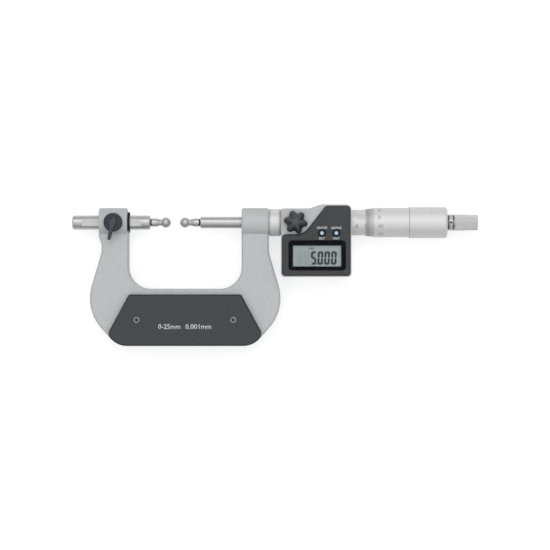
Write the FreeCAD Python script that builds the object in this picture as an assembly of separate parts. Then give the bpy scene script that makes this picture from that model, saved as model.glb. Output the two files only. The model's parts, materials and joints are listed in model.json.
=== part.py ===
"""Digital gear tooth micrometer, 0 to 25 mm, set at a reading of 5 mm.

Each piece is drawn about the spindle's axis: X runs along the axis from the anvil towards
the ratchet, with zero in the middle of the frame's throat, Y points from the foot of the
frame to the axis, and Z points out of the display. The tool lies on its back, so save()
moves every piece until the origin is the middle of the rear grip plate's outer face.
"""

import FreeCAD
import Part
import math
import os

from FreeCAD import Vector

# Setting and travel
MEASURING_RANGE = 25.0
READING = 5.0

# Clearances, each on the radius or on one side
RUN = 0.05
FIT = 0.03
SLACK = 0.2

# Frame
THROAT_HALF = 32.0
THROAT_DROP = 37.6
THROAT_CORNER = 12.4
LEG_WIDTH = 15.4
FLARE_DROP = 16.9
FLARE_ANGLE = 16.4
FRAME_DROP = 70.1
HIP_RADIUS = 25.2
FOOT_SLANT = 41.0
FOOT_TUCK = 8.8
TOE_RADIUS = 12.5
KNEE_RADIUS = 18.0
FRAME_THICKNESS = 10.0
FRAME_EDGE = 0.9
BOSS_D = 16.4
BOSS_OVERHANG = 1.5
BOSS_SHOULDER = 4.3
BOSS_STEP = 0.8
BOSS_EDGE = 0.6
LEG_TOP_DROP = 4.9
WEB_HALF = 21.0
WEB_HEIGHT = 17.0
WEB_DEPTH = 2.5

# Grip plates and their screws
PLATE_TOP_DROP = 40.8
PLATE_TOP_HALF = 31.7
PLATE_SLANT = 28.4
PLATE_MARGIN = 0.3
PLATE_CORNER = 1.5
PLATE_TOE = 4.0
PLATE_EDGE = 0.8
PLATE_SCREW_X = 27.3
PLATE_SCREW_DROP = 55.2
PLATE_SCREW_HEAD_D = 4.4
PLATE_SCREW_HEAD = 1.7
PLATE_SCREW_D = 2.5
PLATE_SCREW_GRIP = 4.0
PLATE_SCREW_SOCKET = 2.0

# Anvil side
ANVIL_D = 8.0
ANVIL_LENGTH = 44.3
ANVIL_END_X = -19.8
ANVIL_FLAT_DEPTH = 0.57
ANVIL_FLAT_LENGTH = 33.5
ANVIL_FLAT_START = 5.4
ANVIL_CHAMFER = 0.7
KNOCK_OUT_D = 2.0
RING_D = 11.8
RING_WIDTH = 1.3
CLAMP_INSET = 8.6
CLAMP_SCREW_D = 6.0
CLAMP_PLUG_LENGTH = 2.6
CLAMP_DISC_D = 10.65
CLAMP_DISC_HEIGHT = 2.9
LEVER_REACH = 10.6
LEVER_ANGLE = -103.0
LEVER_WIDTH = 2.7
LEVER_TIP_WIDTH = 2.2
LEVER_HEIGHT = 2.2
LEVER_SINK = 1.0

# Ball tips
BALL_D = 5.9
TIP_NECK_D = 3.5
TIP_NECK_AT = 3.0
TIP_BODY_D = 4.7
TIP_BODY_AT = 5.3
TIP_GROOVE_AT = 7.9
TIP_GROOVE_D = 4.1
TIP_FACE_AT = 8.7
TIP_SHANK_D = 3.5
TIP_SHANK_LENGTH = 11.0

# Collar and guide tube
COLLAR_LENGTH = 6.9
COLLAR_D = 15.4
GUIDE_D = 12.0
GUIDE_SHORT = 1.5
WIPER_D = 10.0
WIPER_LENGTH = 2.0
COLLAR_GROOVE = 0.4
COLLAR_GROOVE_WIDTH = 0.7

# Spindle and its thread
SPINDLE_D = 6.5
SPINDLE_CHAMFER = 0.4
THREAD_D = 7.6
THREAD_RELIEF_D = 6.8
THREAD_LENGTH = 16.0
CONE_BACK_D = 8.8
CONE_TAPER = 0.8
KEYWAY_WIDTH = 1.5
KEYWAY_FLOOR = 2.2
KEY_FLOOR = 2.35
KEY_TOP = 4.4

# Housing
HOUSING_LENGTH = 39.7
HOUSING_BOTTOM = -30.8
HOUSING_LEFT_TOP = 7.75
HOUSING_RIGHT_TOP = 10.0
HOUSING_HIGH_LENGTH = 16.9
HOUSING_SLOPE_LENGTH = 6.9
HOUSING_FRONT = 12.0
HOUSING_CORNER = 2.0
HOUSING_TOP_CORNER = 3.0
HOUSING_EDGE = 0.5
HOUSING_WALL = 2.1
HOUSING_BACK_WALL = 2.2
SLEEVE_BLOCK_LENGTH = 7.4
CHAMBER_LENGTH = 10.0
BLOCK_WALL = 3.0
CHAMBER_GAP = 0.5
POST_D = 4.0

# Display panel
PANEL_THICKNESS = 1.6
PANEL_SIDE_GAP = 0.5
PANEL_BOTTOM_GAP = 0.5
PANEL_TOP_GAP = 0.75
PANEL_STEP_Y = -6.87
PANEL_SLANT = 52.2
PANEL_TOP_LENGTH = 14.0
PANEL_CORNER = 2.2
PANEL_HOLLOW = 9.0
PANEL_EDGE = 0.7
PANEL_SCREW_INSET = 2.3
PANEL_SCREW_HEAD_D = 2.6
PANEL_SCREW_HEAD = 0.9
PANEL_SCREW_D = 1.6
PANEL_SCREW_LENGTH = 5.5

# Window, display and boards
WINDOW_LEFT = 4.15
WINDOW_RIGHT = 3.15
WINDOW_LOW = 3.5
WINDOW_HEIGHT = 17.1
WINDOW_CORNER = 2.0
WINDOW_THICKNESS = 0.9
WINDOW_LEDGE = 2.1
LCD_MARGIN = 0.9
LCD_THICKNESS = 1.9
LCD_GAP = 0.1
STRIP_WIDTH = 2.0
STRIP_HEIGHT = 0.8
BOARD_THICKNESS = 1.0
BOARD_MARGIN = 0.5
BOARD_TOP_Y = -2.0

# Buttons
BUTTON_RIGHT = 8.55
BUTTON_PITCH = 8.1
BUTTON_Y = -6.2
BUTTON_D = 4.6
BUTTON_PROUD = 0.5
BUTTON_FLANGE_D = 5.8
BUTTON_FLANGE = 0.75
BUTTON_TRAVEL = 0.4
BUTTON_DISH = 0.15
BUTTON_DOT_D = 2.3
MEMBRANE_MARGIN = 1.0

# Encoder
STATOR_D = 14.2
STATOR_HOLE_D = 9.0
STATOR_THICKNESS = 1.0
STATOR_TAB = 5.0
ROTOR_D = 13.6
ROTOR_GAP = 0.5
ROTOR_THICKNESS = 1.2
HUB_D = 9.2
HUB_LENGTH = 5.8
KEY_START = 0.7
KEY_LENGTH = 4.5
KEYWAY_SPARE = 1.0

# Spindle lock
LOCK_X = 8.2
LOCK_PLUG_D = 4.0
LOCK_PLUG_GAP = 0.3
LOCK_PLUG_LENGTH = 3.45
LOCK_SCREW_D = 5.0
LOCK_LIFT = 0.4
KNOB_NECK_D = 8.0
KNOB_NECK = 1.8
KNOB_D = 13.5
KNOB_LOBES = 6
KNOB_LOBE_D = 5.0
KNOB_HEIGHT = 4.9
KNOB_TURN = -10.0
KNOB_CROWN = 1.4
KNOB_EYE_D = 3.0

# Battery
BATTERY_X = 19.6
BATTERY_DROP = 0.35
BATTERY_D = 11.6
BATTERY_THICKNESS = 5.4
BATTERY_SLEEVE_WALL = 1.8
BATTERY_FLOOR = 1.0
CONTACT_D = 5.0
CONTACT_THICKNESS = 0.45
CONTACT_PIN_D = 1.2
CAP_D = 16.0
CAP_RECESS = 0.1
CAP_THICKNESS = 3.3
CAP_LUG_REACH = 1.2
CAP_LUG_HEIGHT = 1.0
CAP_LUG_ANGLE = 40.0
CAP_SLOT_WIDTH = 1.6
CAP_SLOT_LENGTH = 11.0
CAP_SLOT_DEPTH = 1.0
SEAL_WIRE_D = 0.8
SEAL_GROOVE_WIDTH = 0.9

# Sleeve and adjusting nut
SLEEVE_LEAD = 3.3
SLEEVE_SPARE = 1.7
SLEEVE_WALL = 1.22
NUT_GAP = 0.3
NUT_LENGTH = 4.7
NUT_WALL = 0.77
SLIT_COUNT = 3
NUT_SLOT_WIDTH = 1.6
NUT_SLOT_DEPTH = 1.0
SLEEVE_TAIL = 0.5
THREAD_ENTRY_D = 8.6
SLIT_WIDTH = 0.6
SLIT_LENGTH = 11.0

# Thimble and grip
THIMBLE_LENGTH = 24.5
THIMBLE_GAP = 0.1
THIMBLE_LIP = 0.2
THIMBLE_WALL = 0.95
THIMBLE_BEVEL = 6.1
THIMBLE_TAIL_STEP = 0.4
SHOULDER_GAP = 1.7
GRIP_WALL = 0.82
GRIP_LENGTH = 21.8
GRIP_FLANGE = 1.6
GRIP_ROUND = 1.6
GRIP_NECK = 0.35

# Cap nut and ratchet
NECK_D = 9.0
NECK_LENGTH = 3.8
NECK_GROOVE_AT = 0.6
NECK_GROOVE_WIDTH = 0.5
NECK_GROOVE_DEPTH = 0.35
SPANNER_D = 1.3
SPANNER_AT = 2.1
SPANNER_DEPTH = 1.4
TAIL_D = 6.0
TAIL_LENGTH = 3.5
RATCHET_GAP = 0.6
RATCHET_LENGTH = 13.0
RATCHET_D = 9.15
RATCHET_END_D = 8.6
RATCHET_BORE_D = 7.4
RATCHET_END_BORE_D = 6.6
RATCHET_RECESS = 3.0
RATCHET_WEB = 1.0
KNURL_COUNT = 40
KNURL_DEPTH = 0.22
CROWN_BASE = 1.25
TOOTH_COUNT = 8
TOOTH_HEIGHT = 0.6
TOOTH_GAP = 0.1
DISC_BASE = 1.5
SPRING_WIRE_D = 0.6
SPRING_D = 6.2
SPRING_TURNS = 4
RATCHET_SCREW_D = 3.0
RATCHET_SCREW_HEAD_D = 6.0
RATCHET_SCREW_HEAD = 1.8
RATCHET_SCREW_GRIP = 8.0
SCREW_SLOT_WIDTH = 0.8
SCREW_SLOT_DEPTH = 0.7

# Diameters that follow from the tube inside
NUT_D = GUIDE_D + 2 * FIT + 2 * NUT_WALL
SLEEVE_D = GUIDE_D + 2 * FIT + 2 * SLEEVE_WALL
THIMBLE_BORE_D = SLEEVE_D + 2 * THIMBLE_GAP
THIMBLE_EDGE_D = THIMBLE_BORE_D + 2 * THIMBLE_LIP
THIMBLE_D = THIMBLE_BORE_D + 2 * THIMBLE_WALL
THIMBLE_TAIL_D = THIMBLE_D - 2 * THIMBLE_TAIL_STEP
GRIP_D = THIMBLE_TAIL_D + 2 * FIT + 2 * GRIP_WALL

# Places along the axis that follow from the sizes above
REST_HEIGHT = GRIP_D / 2 + RUN
PLATE_THICKNESS = REST_HEIGHT - FRAME_THICKNESS / 2
LEG_OUT = THROAT_HALF + LEG_WIDTH
CLAMP_X = -THROAT_HALF - CLAMP_INSET
HOUSING_LEFT = LEG_OUT + COLLAR_LENGTH
HOUSING_RIGHT = HOUSING_LEFT + HOUSING_LENGTH
TIP_REACH = TIP_FACE_AT + BALL_D / 2
SPINDLE_END_X = ANVIL_END_X + 2 * TIP_REACH + READING
SLEEVE_ZERO = HOUSING_RIGHT + SLEEVE_LEAD
SLEEVE_END = SLEEVE_ZERO + MEASURING_RANGE + SLEEVE_SPARE
NUT_START = SLEEVE_END + NUT_GAP
THREAD_SLEEVE_END = NUT_START + NUT_LENGTH + SLEEVE_TAIL
THREAD_BORE_START = THREAD_SLEEVE_END - THREAD_LENGTH
THREAD_START = THREAD_BORE_START - (MEASURING_RANGE - READING)
THREAD_END = THREAD_SLEEVE_END + READING
SHOULDER_X = THREAD_SLEEVE_END + READING + SHOULDER_GAP
THIMBLE_EDGE_X = SLEEVE_ZERO + READING
GRIP_START = THIMBLE_EDGE_X + THIMBLE_LENGTH
GRIP_END = GRIP_START + GRIP_LENGTH
THIMBLE_END = GRIP_END - GRIP_FLANGE
CONE_FRONT_D = CONE_BACK_D + 2 * CONE_TAPER
NECK_END = GRIP_END + NECK_LENGTH
RATCHET_START = NECK_END + RATCHET_GAP
RATCHET_END = RATCHET_START + RATCHET_LENGTH
CROWN_START = NECK_END + RUN
TOOTH_TIP = CROWN_START + CROWN_BASE + TOOTH_HEIGHT
DISC_TIP = TOOTH_TIP + TOOTH_GAP
DISC_BACK = DISC_TIP + TOOTH_HEIGHT + DISC_BASE
RECESS_START = RATCHET_END - RATCHET_RECESS
WEB_START = RECESS_START - RATCHET_WEB

# Places across the axis
BOARD_TOP = HOUSING_FRONT - LCD_GAP - LCD_THICKNESS - STRIP_HEIGHT
BOARD_BOTTOM = BOARD_TOP - BOARD_THICKNESS
TRAY_FLOOR = BOARD_BOTTOM - SLACK - FIT
PANEL_FRONT = HOUSING_FRONT + PANEL_THICKNESS
BACK_WALL_Z = -REST_HEIGHT + HOUSING_BACK_WALL
CAP_INSIDE = -REST_HEIGHT + CAP_RECESS + CAP_THICKNESS
BATTERY_TOP = CAP_INSIDE + SLACK / 2 + BATTERY_THICKNESS
BATTERY_FLOOR_Z = BATTERY_TOP + CONTACT_THICKNESS + FIT
BOX_LEFT = HOUSING_LEFT + HOUSING_WALL
BOX_RIGHT = HOUSING_RIGHT - HOUSING_WALL
BOX_BOTTOM = HOUSING_BOTTOM + HOUSING_WALL
BLOCK_BOTTOM = -GUIDE_D / 2 - BLOCK_WALL
WINDOW_BOTTOM = HOUSING_BOTTOM + WINDOW_LOW
SLEEVE_BLOCK_X = HOUSING_RIGHT - SLEEVE_BLOCK_LENGTH
TUBE_BLOCK_X = SLEEVE_BLOCK_X - CHAMBER_LENGTH
PANEL_LEFT = HOUSING_LEFT + PANEL_SIDE_GAP
PANEL_RIGHT = HOUSING_RIGHT - PANEL_SIDE_GAP
PANEL_BOTTOM = HOUSING_BOTTOM + PANEL_BOTTOM_GAP
PANEL_TOP = HOUSING_RIGHT_TOP - PANEL_TOP_GAP
KNOB_X = HOUSING_LEFT + LOCK_X
BATTERY_CENTRE = (HOUSING_LEFT + BATTERY_X, (BOX_BOTTOM + BLOCK_BOTTOM) / 2 - BATTERY_DROP)
BUTTON_CENTRES = [
    (HOUSING_RIGHT - BUTTON_RIGHT - BUTTON_PITCH, BUTTON_Y),
    (HOUSING_RIGHT - BUTTON_RIGHT, BUTTON_Y),
]
PANEL_SCREWS = [
    (PANEL_LEFT + PANEL_SCREW_INSET, PANEL_STEP_Y - PANEL_SCREW_INSET),
    (PANEL_LEFT + PANEL_SCREW_INSET, PANEL_BOTTOM + PANEL_SCREW_INSET),
    (PANEL_RIGHT - PANEL_SCREW_INSET, PANEL_BOTTOM + PANEL_SCREW_INSET),
    (PANEL_RIGHT - PANEL_SCREW_INSET, PANEL_TOP - PANEL_SCREW_INSET),
]
X_AXIS = Vector(1, 0, 0)
Y_AXIS = Vector(0, 1, 0)
Z_AXIS = Vector(0, 0, 1)


def rod(x0, x1, d):
    """A cylinder on the spindle's axis."""
    return Part.makeCylinder(d / 2, x1 - x0, Vector(x0, 0, 0), X_AXIS)


def tube(x0, x1, outer, inner):
    """A tube on the spindle's axis."""
    return rod(x0, x1, outer).cut(rod(x0 - 1, x1 + 1, inner))


def taper(x0, x1, d0, d1):
    """A cone frustum on the spindle's axis."""
    return Part.makeCone(d0 / 2, d1 / 2, x1 - x0, Vector(x0, 0, 0), X_AXIS)


def stud(x, y, z0, z1, d):
    """A cylinder that points along Z."""
    return Part.makeCylinder(d / 2, z1 - z0, Vector(x, y, z0), Z_AXIS)


def block(x0, x1, y0, y1, z0, z1):
    """A box given by its two corners."""
    return Part.makeBox(x1 - x0, y1 - y0, z1 - z0, Vector(x0, y0, z0))


def turned(profile):
    """A solid turned about the spindle's axis from points (x, radius)."""
    first, last = profile[0][0], profile[-1][0]
    outline = [(first, 0.0)] + list(profile) + [(last, 0.0)]
    points = [Vector(x, r, 0) for x, r in outline]
    face = Part.Face(Part.makePolygon(points + [points[0]]))
    return face.revolve(Vector(0, 0, 0), X_AXIS, 360)


def rounded_wire(corners, z):
    """A closed wire through corners (x, y, radius), each corner an arc of its radius."""
    count = len(corners)
    starts, ends, arcs = [], [], []
    for i, (x, y, radius) in enumerate(corners):
        here = Vector(x, y, z)
        before = Vector(corners[i - 1][0], corners[i - 1][1], z)
        after = Vector(corners[(i + 1) % count][0], corners[(i + 1) % count][1], z)
        back = (before - here).normalize()
        on = (after - here).normalize()
        half = back.getAngle(on) / 2
        reach = radius / math.tan(half)
        start, end = here + back * reach, here + on * reach
        starts.append(start)
        ends.append(end)
        middle = here + (back + on).normalize() * (radius / math.sin(half) - radius)
        arcs.append(Part.Arc(start, middle, end).toShape() if radius > 0 else None)
    edges = []
    for i in range(count):
        if arcs[i] is not None:
            edges.append(arcs[i])
        edges.append(Part.makeLine(ends[i], starts[(i + 1) % count]))
    return Part.Wire(edges)


def slab(corners, z0, z1):
    """A plate with rounded corners between two heights."""
    return Part.Face(rounded_wire(corners, z0)).extrude(Vector(0, 0, z1 - z0))


def rectangle(x0, x1, y0, y1, radius):
    """Corners of a rectangle with one corner radius."""
    return [(x0, y0, radius), (x1, y0, radius), (x1, y1, radius), (x0, y1, radius)]


def rim(shape, z):
    """The edges of a shape that lie in the plane at one height."""
    edges = []
    for edge in shape.Edges:
        box = edge.BoundBox
        if abs(box.ZMin - z) < 1e-4 and abs(box.ZMax - z) < 1e-4:
            edges.append(edge)
    return edges


def ring_edges(shape, x, d):
    """The round edges of a turned shape at one place and diameter."""
    edges = []
    for edge in shape.Edges:
        box = edge.BoundBox
        flat = abs(box.XMin - x) < 1e-4 and abs(box.XMax - x) < 1e-4
        if flat and abs(box.YLength - d) < 1e-3:
            edges.append(edge)
    return edges


def frame_outline(inset, left_overhang):
    """Outline of the bow, made smaller all round by inset."""
    tan_flare = math.tan(math.radians(FLARE_ANGLE))
    tan_slant = math.tan(math.radians(FOOT_SLANT))
    side = LEG_OUT - inset
    foot = -FRAME_DROP + inset
    ease = inset * (tan_slant - 1 / math.cos(math.radians(FOOT_SLANT)))
    toe = LEG_OUT - FOOT_TUCK + ease
    rise = side - toe - tan_flare * FLARE_DROP + tan_slant * foot
    hip_y = rise / (tan_slant + tan_flare)
    hip = toe + (hip_y - foot) * tan_slant
    floor = -THROAT_DROP - inset
    wall = THROAT_HALF + inset
    left = side + left_overhang
    shoulder = -BOSS_D / 2 - BOSS_SHOULDER
    corners = [
        (-wall, 0, 0),
        (-wall, floor, THROAT_CORNER + inset),
        (wall, floor, THROAT_CORNER + inset),
        (wall, 0, 0),
        (side, 0, 0),
        (side, -FLARE_DROP, KNEE_RADIUS),
        (hip, hip_y, HIP_RADIUS - inset),
        (toe, foot, TOE_RADIUS - inset),
        (-toe, foot, TOE_RADIUS - inset),
        (-hip, hip_y, HIP_RADIUS - inset),
        (-side, -FLARE_DROP, 0),
    ]
    if left_overhang > 0:
        corners.append((-side, shoulder, 0))
        corners.append((-left, -BOSS_D / 2, 0))
    corners.append((-left, 0, 0))
    return corners


def bow():
    """The flat part of the frame, with its outline eased on both faces."""
    half = FRAME_THICKNESS / 2
    plate = slab(frame_outline(0, BOSS_OVERHANG), -half, half)
    plate = plate.makeChamfer(FRAME_EDGE, rim(plate, half) + rim(plate, -half))
    side = LEG_OUT + BOSS_D
    cutter = block(-side, side, -LEG_TOP_DROP, BOSS_D, -half - 1, half + 1)
    return plate.cut(cutter)


def boss(x0, x1):
    """A round boss about the spindle's axis, eased at its ends."""
    body = rod(x0, x1, BOSS_D)
    edges = ring_edges(body, x0, BOSS_D) + ring_edges(body, x1, BOSS_D)
    return body.makeChamfer(BOSS_EDGE, edges)


def plate_screw_places():
    """Centres of the screws that hold a grip plate."""
    return [(-PLATE_SCREW_X, -PLATE_SCREW_DROP), (PLATE_SCREW_X, -PLATE_SCREW_DROP)]


def make_frame():
    """The forged bow: two legs, a foot and a boss at each end of the measuring axis."""
    left_start = -LEG_OUT - BOSS_OVERHANG
    left_end = -THROAT_HALF - BOSS_STEP
    shape = bow().fuse([boss(left_start, left_end), boss(THROAT_HALF, LEG_OUT)])
    shape = shape.removeSplitter()
    seat = rod(left_end, -THROAT_HALF + 1, RING_D + 2 * SLACK)
    anvil_bore = rod(left_start - 1, left_end + 1, ANVIL_D + 2 * RUN)
    guide_bore = rod(THROAT_HALF - 1, LEG_OUT + 1, GUIDE_D + 2 * FIT)
    clamp_hole = stud(CLAMP_X, 0, 0, BOSS_D, CLAMP_SCREW_D + 2 * RUN)
    shape = shape.cut([seat, anvil_bore, guide_bore, clamp_hole])
    half = FRAME_THICKNESS / 2
    web_low = -(THROAT_DROP + FRAME_DROP) / 2 - WEB_HEIGHT / 2
    web = rectangle(-WEB_HALF, WEB_HALF, web_low, web_low + WEB_HEIGHT, 3 * PLATE_CORNER)
    cuts = [slab(web, half - WEB_DEPTH, half + 1), slab(web, -half - 1, WEB_DEPTH - half)]
    for x, y in plate_screw_places():
        hole_d = PLATE_SCREW_D + 2 * FIT
        cuts.append(stud(x, y, half - PLATE_SCREW_GRIP, half + 1, hole_d))
        cuts.append(stud(x, y, -half - 1, PLATE_SCREW_GRIP - half, hole_d))
    return shape.cut(cuts)


def front_plate():
    """A grip plate on the front of the frame: the foot's outline between slanted sides."""
    low = FRAME_THICKNESS / 2
    high = low + PLATE_THICKNESS
    widen = (FRAME_DROP - PLATE_TOP_DROP) * math.tan(math.radians(PLATE_SLANT))
    foot_half = PLATE_TOP_HALF + widen
    sides = [
        (-foot_half, -FRAME_DROP, 0),
        (foot_half, -FRAME_DROP, 0),
        (PLATE_TOP_HALF, -PLATE_TOP_DROP, 0),
        (-PLATE_TOP_HALF, -PLATE_TOP_DROP, 0),
    ]
    foot = slab(frame_outline(PLATE_MARGIN, 0), low, high)
    plate = slab(sides, low, high).common(foot)
    upright = []
    for edge in plate.Edges:
        box = edge.BoundBox
        if box.ZLength > PLATE_THICKNESS - 1e-3 and box.XLength < 1e-3:
            upright.append(edge)
    widest = max(edge.BoundBox.XMax for edge in upright)
    toes = [edge for edge in upright if abs(edge.BoundBox.XMax) > widest - 1e-3]
    tops = [edge for edge in upright if abs(edge.BoundBox.YMax + PLATE_TOP_DROP) < 1e-3]
    plate = plate.makeFillet(PLATE_TOE, toes)
    plate = plate.makeFillet(PLATE_CORNER, tops)
    plate = plate.makeChamfer(PLATE_EDGE, rim(plate, high))
    cuts = []
    for x, y in plate_screw_places():
        cuts.append(stud(x, y, low - 1, high + 1, PLATE_SCREW_D + 2 * RUN))
        seat = high - RUN * 2 - PLATE_SCREW_HEAD - FIT
        cuts.append(stud(x, y, seat, high + 1, PLATE_SCREW_HEAD_D + 2 * RUN))
    return plate.cut(cuts)


def to_rear(shape):
    """The same piece turned over to the back of the frame."""
    return shape.mirror(Vector(0, 0, 0), Z_AXIS)


def plate_screw(x, y):
    """A countersunk socket screw that holds a front grip plate."""
    top = FRAME_THICKNESS / 2 + PLATE_THICKNESS - RUN * 2
    seat = top - PLATE_SCREW_HEAD
    tip = FRAME_THICKNESS / 2 - PLATE_SCREW_GRIP + FIT
    head = stud(x, y, seat, top, PLATE_SCREW_HEAD_D)
    head = head.makeChamfer(PLATE_SCREW_HEAD / 6, rim(head, top)[:1])
    socket = slab(
        [
            (
                x + PLATE_SCREW_SOCKET / 2 * math.cos(math.radians(60 * k)),
                y + PLATE_SCREW_SOCKET / 2 * math.sin(math.radians(60 * k)),
                0,
            )
            for k in range(6)
        ],
        top - PLATE_SCREW_HEAD * 0.6,
        top + 1,
    )
    return head.fuse(stud(x, y, tip, seat, PLATE_SCREW_D)).cut(socket)


def make_plate_screws():
    """Two screws in the front grip plate and two in the rear one."""
    front = [plate_screw(x, y) for x, y in plate_screw_places()]
    return Part.Compound(front + [to_rear(screw) for screw in front])


def anvil_flat():
    """Height of the flat along the anvil rod's front."""
    return ANVIL_D / 2 - ANVIL_FLAT_DEPTH


def make_anvil_rod():
    """The fixed side's rod, with a long flat for its clamp and a bore for the ball tip."""
    start = ANVIL_END_X - ANVIL_LENGTH
    body = rod(start, ANVIL_END_X, ANVIL_D)
    ends = ring_edges(body, start, ANVIL_D) + ring_edges(body, ANVIL_END_X, ANVIL_D)
    body = body.makeChamfer(ANVIL_CHAMFER, ends)
    flat_start = start + ANVIL_FLAT_START
    flat = block(
        flat_start,
        flat_start + ANVIL_FLAT_LENGTH,
        -ANVIL_D,
        ANVIL_D,
        anvil_flat(),
        ANVIL_D,
    )
    socket = rod(ANVIL_END_X - TIP_SHANK_LENGTH - FIT, ANVIL_END_X + 1, TIP_SHANK_D + 2 * FIT)
    knock_out = rod(start - 1, ANVIL_END_X - 1, KNOCK_OUT_D)
    return body.cut([flat, socket, knock_out])


def ball_tip(face_x, direction):
    """A ball on a tapered stem; face_x is the holder's end and direction is 1 or -1."""
    stem = [
        (-TIP_SHANK_LENGTH, TIP_SHANK_D / 2),
        (0.0, TIP_SHANK_D / 2),
        (0.0, TIP_GROOVE_D / 2),
        (TIP_FACE_AT - TIP_GROOVE_AT, TIP_GROOVE_D / 2),
        (TIP_FACE_AT - TIP_GROOVE_AT, TIP_BODY_D / 2),
        (TIP_FACE_AT - TIP_BODY_AT, TIP_BODY_D / 2),
        (TIP_FACE_AT - TIP_NECK_AT, TIP_NECK_D / 2),
        (TIP_FACE_AT, TIP_NECK_D / 2),
    ]
    shape = turned(stem).fuse(Part.makeSphere(BALL_D / 2, Vector(TIP_FACE_AT, 0, 0)))
    if direction < 0:
        shape = shape.mirror(Vector(0, 0, 0), X_AXIS)
    shape.translate(Vector(face_x, 0, 0))
    return shape


def make_anvil_ring():
    """The black ring on the rod where it leaves the left boss."""
    start = -THROAT_HALF - BOSS_STEP
    ring = tube(start, start + RING_WIDTH, RING_D, ANVIL_D + 2 * RUN)
    return ring.makeChamfer(SLACK, ring_edges(ring, start + RING_WIDTH, RING_D))


def clamp_seat():
    """Height where the clamp's screw meets its brass plug."""
    return anvil_flat() + RUN + CLAMP_PLUG_LENGTH


def make_anvil_lock_plug():
    """Brass plug that the clamp screw presses on the rod's flat."""
    low = anvil_flat() + RUN
    plug = stud(CLAMP_X, 0, low, clamp_seat(), CLAMP_SCREW_D)
    return plug.makeChamfer(SLACK, rim(plug, clamp_seat()))


def lever_bar(angle, reach, width, tip_width, low, high):
    """A tapered bar with a round tip, laid on the clamp's disc."""
    half, tip = width / 2, tip_width / 2
    middle = reach - tip
    points = [Vector(0, -half, low), Vector(middle, -tip, low)]
    points += [Vector(middle, tip, low), Vector(0, half, low)]
    face = Part.Face(Part.makePolygon(points + [points[0]]))
    bar = face.extrude(Vector(0, 0, high - low))
    bar = bar.fuse(stud(middle, 0, low, high, tip_width))
    bar = bar.fuse(stud(0, 0, low, high, width))
    bar = bar.removeSplitter()
    bar.rotate(Vector(0, 0, 0), Z_AXIS, angle)
    bar.translate(Vector(CLAMP_X, 0, 0))
    return bar


def make_anvil_lock_lever():
    """The anvil clamp's screw, disc and lever, moulded on one stud."""
    disc_low = BOSS_D / 2 + SLACK
    disc_high = disc_low + CLAMP_DISC_HEIGHT
    disc = stud(CLAMP_X, 0, disc_low, disc_high, CLAMP_DISC_D)
    disc = disc.makeFillet(CLAMP_DISC_HEIGHT / 3, rim(disc, disc_high))
    screw = stud(CLAMP_X, 0, clamp_seat() + FIT, disc_low, CLAMP_SCREW_D)
    low, high = disc_high - LEVER_SINK, disc_high - LEVER_SINK + LEVER_HEIGHT
    lever = lever_bar(LEVER_ANGLE, LEVER_REACH, LEVER_WIDTH, LEVER_TIP_WIDTH, low, high)
    rib_angle = LEVER_ANGLE + 180
    rib_reach = CLAMP_DISC_D / 2 - SLACK * 3
    rib = lever_bar(rib_angle, rib_reach, LEVER_WIDTH, LEVER_TIP_WIDTH / 2, low, high - SLACK)
    return disc.fuse([screw, lever, rib]).removeSplitter()


def make_guide_tube():
    """Steel tube that joins frame and housing and guides the plain end of the spindle."""
    tail_end = TUBE_BLOCK_X - GUIDE_SHORT
    body = rod(THROAT_HALF, tail_end, GUIDE_D).fuse(rod(LEG_OUT, HOUSING_LEFT, COLLAR_D))
    body = body.removeSplitter()
    groove_floor_d = COLLAR_D - 2 * COLLAR_GROOVE
    grooves = [
        tube(x, x + COLLAR_GROOVE_WIDTH, COLLAR_D + 1, groove_floor_d)
        for x in (LEG_OUT, HOUSING_LEFT - COLLAR_GROOVE_WIDTH)
    ]
    bore = rod(THROAT_HALF - 1, tail_end + 1, SPINDLE_D + 2 * RUN)
    wiper_seat = rod(THROAT_HALF - 1, THROAT_HALF + WIPER_LENGTH + FIT, WIPER_D + 2 * FIT)
    plug_hole = stud(KNOB_X, 0, 0, GUIDE_D, LOCK_PLUG_D + 2 * RUN)
    return body.cut(grooves + [bore, wiper_seat, plug_hole])


def make_spindle_wiper():
    """Felt ring that wipes the spindle where it enters the guide tube."""
    start = THROAT_HALF
    return tube(start, start + WIPER_LENGTH, WIPER_D, SPINDLE_D + 2 * RUN)


def housing_outline():
    """Outline of the electronics housing seen from the front."""
    slope_end = HOUSING_RIGHT - HOUSING_HIGH_LENGTH
    slope_start = slope_end - HOUSING_SLOPE_LENGTH
    return [
        (HOUSING_LEFT, HOUSING_BOTTOM, HOUSING_CORNER),
        (HOUSING_RIGHT, HOUSING_BOTTOM, HOUSING_CORNER),
        (HOUSING_RIGHT, HOUSING_RIGHT_TOP, HOUSING_TOP_CORNER),
        (slope_end, HOUSING_RIGHT_TOP, HOUSING_TOP_CORNER),
        (slope_start, HOUSING_LEFT_TOP, HOUSING_TOP_CORNER),
        (HOUSING_LEFT, HOUSING_LEFT_TOP, HOUSING_CORNER / 2),
    ]


def panel_outline(inset):
    """Outline of the display panel, made smaller all round by inset."""
    left, right = PANEL_LEFT + inset, PANEL_RIGHT - inset
    low, high = PANEL_BOTTOM + inset, PANEL_TOP - inset
    step = PANEL_STEP_Y - inset
    angle = math.radians(PANEL_SLANT)
    shift = inset / math.sin(angle)
    top_x = PANEL_RIGHT - PANEL_TOP_LENGTH + shift - inset / math.tan(angle)
    step_x = top_x - (high - step) / math.tan(angle)
    corner = max(PANEL_CORNER - inset, 0.5)
    return [
        (left, low, corner),
        (right, low, corner),
        (right, high, corner),
        (top_x, high, corner),
        (step_x, step, PANEL_HOLLOW + inset),
        (left, step, corner),
    ]


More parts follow.
